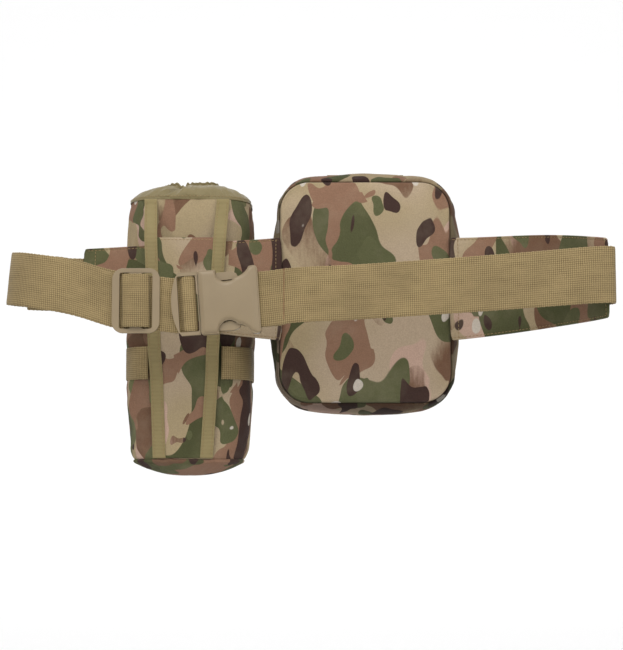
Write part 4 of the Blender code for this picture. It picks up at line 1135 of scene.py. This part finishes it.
def bottle_collar():
    count = 2 * BOTTLE_COUNT
    rows = []
    for z, width, blend in smooth(COLLAR_PROFILE, 4):
        t = ease((z - 0.0945) / 0.013) if blend < 1 else 1.0
        early = ease((z - 0.0950) / 0.006)
        row = []
        for j, (x, y, _) in enumerate(bottle_ring(width, z, count=count)):
            a = 2 * math.pi * j / count - math.pi / 2
            circle = (BOTTLE_X + width / 2 * math.cos(a), BOTTLE_MOUTH_Y + width / 2 * math.sin(a))
            px, py = lerp(x, circle[0], min(blend, 1.0)), lerp(y, circle[1], min(blend, 1.0))
            away = Vector((px - BOTTLE_X, py - BOTTLE_MOUTH_Y, 0)).normalized()
            fold = gather(math.degrees(a + 0.10 * (1 - blend) * math.sin(3 * a)))
            fine = rough_ring(a, 9, 3.0) + 0.25 * rough_ring(a, 21, 5.0)
            crease = rough_ring(a, 4, width * 30)
            pleat = 1 - 2 * abs(rough_ring(a + width * 4, 6, 8.0))
            out = (0.5 * fold + 0.0008 * fine + 0.0006 * crease) * t
            lift = (fold + 0.0008 * fine * t + 0.0011 * crease) * t + 0.0022 * (pleat - 0.6) * early
            row.append((px + away.x * out, py + away.y * out, z + lift))
        rows.append(row)
    thing = surface("bottle_collar", rows, closed=True)
    last = (len(rows) - 1) * count
    settle(thing, [*range(count), *range(last, last + count)], 0.0, 0.02, 0.0010, bending=0.1)
    thickened(thing, 0.0005)
    dressed(thing, NYLON_LOOK, "bottle_pouch", ("collar",))
    return thing


STRIP_ACROSS = (-0.5, -0.49, -0.46, -0.4, -0.2, 0.0, 0.2, 0.4, 0.46, 0.49, 0.5)
TUNNEL_TOP_Z = 0.0530


def strip_side(lift):
    """Side view of the strips as (y, z): off the sleeve, in front of the wing, and back to the sleeve."""
    near = BOTTLE_BACK_Y - lift
    far = near - 0.0112
    return smooth([(near, STRIP_TOP_Z), (lerp(near, far, 0.10), 0.0840), (lerp(near, far, 0.38), 0.0740),
                   (lerp(near, far, 0.72), 0.0640), (lerp(near, far, 0.94), 0.0540), (far, 0.0440), (far, 0.0),
                   (far, -0.0520 - lift), (lerp(near, far, 0.55), -0.0660 - lift),
                   (lerp(near, far, 0.06), -0.0830), (near, -0.11), (near, STRIP_BOTTOM_Z)], 8)


def between(span, z):
    """Across the pouch, the middle of a strip that runs from span[0] at the top to span[1]."""
    return lerp(*span, (STRIP_TOP_Z - z) / (STRIP_TOP_Z - STRIP_BOTTOM_Z))


def back_strips(camo):
    """The two binding strips and the tunnel's cloth between them."""
    made = []
    for side, span in (("left", STRIP_LEFT_X), ("right", STRIP_RIGHT_X)):
        line = evenly(strip_side(0.0022), spacing=0.0020)
        rows = [[(between(span, z) + v * STRIP_W, y + 0.0003 * (abs(v) > 0.45), z) for y, z in line]
                for v in STRIP_ACROSS]
        thing = thickened(surface(f"binding_{side}", rows), 0.0011)
        made.append(dressed(thing, BINDING_LOOK, "bottle_pouch", (f"strip_{side}",)))
    line = [point for point in strip_side(0.0008) if point[1] < 0.0525]
    rows = []
    for y, z in evenly([(line[0][0], TUNNEL_TOP_Z), *line], spacing=0.0030):
        left, right = between(STRIP_LEFT_X, z) + 0.001, between(STRIP_RIGHT_X, z) - 0.001
        row = []
        for u in np.linspace(0, 1, 26):
            sag = 0.0007 * rough(u * 4, z * 30, 4.0) * math.sin(math.pi * u)
            row.append((lerp(left, right, u), y + sag, z))
        rows.append(row)
    tunnel = thickened(surface("tunnel_cloth", rows), 0.0009)
    return *made, dressed(tunnel, camo, "bottle_pouch", ("tunnel_panel",))


def side_band():
    """Webbing round the sleeve below the wing."""
    z = -0.068
    left, right = between(STRIP_LEFT_X, z) - 0.0073, between(STRIP_RIGHT_X, z) + 0.0073
    path = [(x, y, z, 0.0) for x, y, _ in bottle_ring(0.1204, 0.0, 0.0016, 240)
            if y > BOTTLE_MOUTH_Y or not left < x < right]
    thing = strap("bottle_band", path, width=0.032, thickness=0.0016, spacing=0.0020, seed=9.0)
    dressed(thing, WEBBING_LOOK, "bottle_pouch", ("side_strap",))


def bottle_pouch():
    bottle_sleeve(camouflage("camo_bottle", (1.33, 2.15, 2.42), (0, 0, 0.4), 1.75))
    bottle_bottom(camouflage("camo_base", (0.2, 1.1, 2.4)))
    collar = bottle_collar()
    strips = back_strips(camouflage("camo_tunnel", (1.45, 0.65, 1.32), (0, math.radians(75), 0), 1.75))
    side_band()
    shade("drawcord", NYLON_LOOK, 60)
    bottle_stitches(*strips, collar)
    for name in ("lock_barrel", "lock_button"):
        shade(name, DARK_PLASTIC_LOOK)
    lock_spring()


def bottle_stitches(left, right, tunnel, collar):
    """Sewn lines down the binding strips, across the tunnel's hem and round the collar's hem."""
    for side, strip, span in (("left", left, STRIP_LEFT_X), ("right", right, STRIP_RIGHT_X)):
        lines = [[(between(span, z) + edge * 0.34 * STRIP_W, 0.0, z) for z in np.linspace(-0.157, 0.090, 90)]
                 for edge in (-1, 1)]
        stitches(f"binding_stitches_{side}", lines, "bottle_pouch", skin_of(strip))
    hem = [(x, 0.0, TUNNEL_TOP_Z - 0.0024)
           for x in np.linspace(STRIP_LEFT_X[0] + 0.010, STRIP_RIGHT_X[0] - 0.010, 40)]
    stitches("tunnel_hem_stitches", [hem], "bottle_pouch", skin_of(tunnel))

    def inwards(point):
        return Vector((BOTTLE_X - point.x, BOTTLE_MOUTH_Y - point.y, 0.0))

    ring = [(x, y, 0.0957) for x, y, _ in bottle_ring(0.1205, 0.0)]
    stitches("collar_hem_stitches", [ring + ring[:1]], "bottle_pouch", skin_of(collar), inwards)


LOCK_AT = Vector((BOTTLE_X, BOTTLE_MOUTH_Y + 0.0540, 0.1133))
SPRING_ENDS, SPRING_TURNS, SPRING_R, SPRING_WIRE = (-0.0109, -0.0053), 3, 0.0036, 0.0003
TURN_STEPS = 16


def lock_spring():
    """The coil inside the cord lock, at one fixed length."""
    steps = SPRING_TURNS * TURN_STEPS
    coil = []
    for step in range(steps + 1):
        angle = 2 * math.pi * step / TURN_STEPS
        coil.append(LOCK_AT + Vector((lerp(*SPRING_ENDS, step / steps), SPRING_R * math.cos(angle),
                                      SPRING_R * math.sin(angle))))
    thing = tube("cord_lock_spring", coil, SPRING_WIRE, 8)
    dressed(thing, METAL_LOOK, None, ("lock_spring",))
    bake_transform(thing)


# ---------------------------------------------------------------- zips' sliders and pulls

def small_hardware():
    for name in ("slider_left", "slider_right", "pocket_slider"):
        shade(name, METAL_LOOK)
    for name in ("pull_left", "pull_right", "pocket_pull"):
        shade(name, NYLON_LOOK)
    shade("pocket_zip", pocket_tape("pocket_zip_tape"))


# ---------------------------------------------------------------- camera, light and floor

def camera():
    data = bpy.data.cameras.new("camera")
    data.lens, data.sensor_width = 74.6, 36.0
    data.clip_start, data.clip_end = 0.05, 30.0
    thing = bpy.data.objects.new("camera", data)
    thing.location = (-0.0536, -1.2940, -0.1566)
    thing.rotation_euler = (math.radians(90 + 5.5), 0, 0)
    scene.collection.objects.link(thing)
    scene.camera = thing


def area_light(name, place, aim, size, power):
    data = bpy.data.lights.new(name, "AREA")
    data.shape, data.size, data.energy = "SQUARE", size, power
    thing = bpy.data.objects.new(name, data)
    thing.location = place
    thing.rotation_mode = "QUATERNION"
    thing.rotation_quaternion = (Vector(aim) - Vector(place)).to_track_quat("-Z", "Y")
    scene.collection.objects.link(thing)


WORLD_SIDE, WORLD_FRONT, WORLD_ABOVE = 0.20, 1.18, 0.50
FLOOR_Z, FLOOR_RISE, FLOOR_HALF, FLOOR_BACK_Y = -0.60, 2.2, 9.0, 3.0     # it curves up behind the pack


def studio():
    """Soft light that is brighter from the front, the back and above than from the sides and below."""
    world = bpy.data.worlds.new("studio")
    world.use_nodes = True
    sky = Nodes(world.node_tree)
    background = world.node_tree.nodes["Background"]
    sky.put(background.inputs["Color"], (1.0, 1.0, 1.0))
    _, deep, high = sky.split(sky.node("ShaderNodeTexCoord", {}).outputs["Generated"])
    level = sky.ramp(sky.math("ABSOLUTE", deep), 0.0, 0.9, WORLD_SIDE, WORLD_FRONT, "SMOOTHSTEP")
    above = sky.ramp(high, 0.0, 1.0, 0.0, WORLD_ABOVE)
    sky.put(background.inputs["Strength"], sky.math("ADD", level, above))
    scene.world = world
    scene.view_settings.view_transform = "Standard"
    area_light("key", (-0.5, -1.3, 1.5), (-0.05, 0, 0), 1.2, 15.0)
    area_light("fill", (1.3, -1.4, 0.5), (0, 0, 0), 1.4, 4.0)
    look = Look("floor", roughness=0.9, specular=0.1)
    pale = look.mix(look.noise(look.place(), 3.0), (0.60, 0.60, 0.60), (0.64, 0.64, 0.64))
    far = look.step(look.split(look.place())[1], 0.7, 1.6)
    rows = []
    for y in np.linspace(-FLOOR_HALF, FLOOR_BACK_Y, 61):
        z = FLOOR_Z + FLOOR_RISE * ease((y - 1.4) / 1.8) ** 2
        rows.append([(x, y, z) for x in np.linspace(-FLOOR_HALF, FLOOR_HALF, 13)])
    floor = surface("floor", rows)
    floor.data.materials.append(look.finish(look.mix(far, pale, (0.95, 0.95, 0.95))))


camera()
main_pouch()
wings()
belt()
bottle_pouch()
small_hardware()
studio()
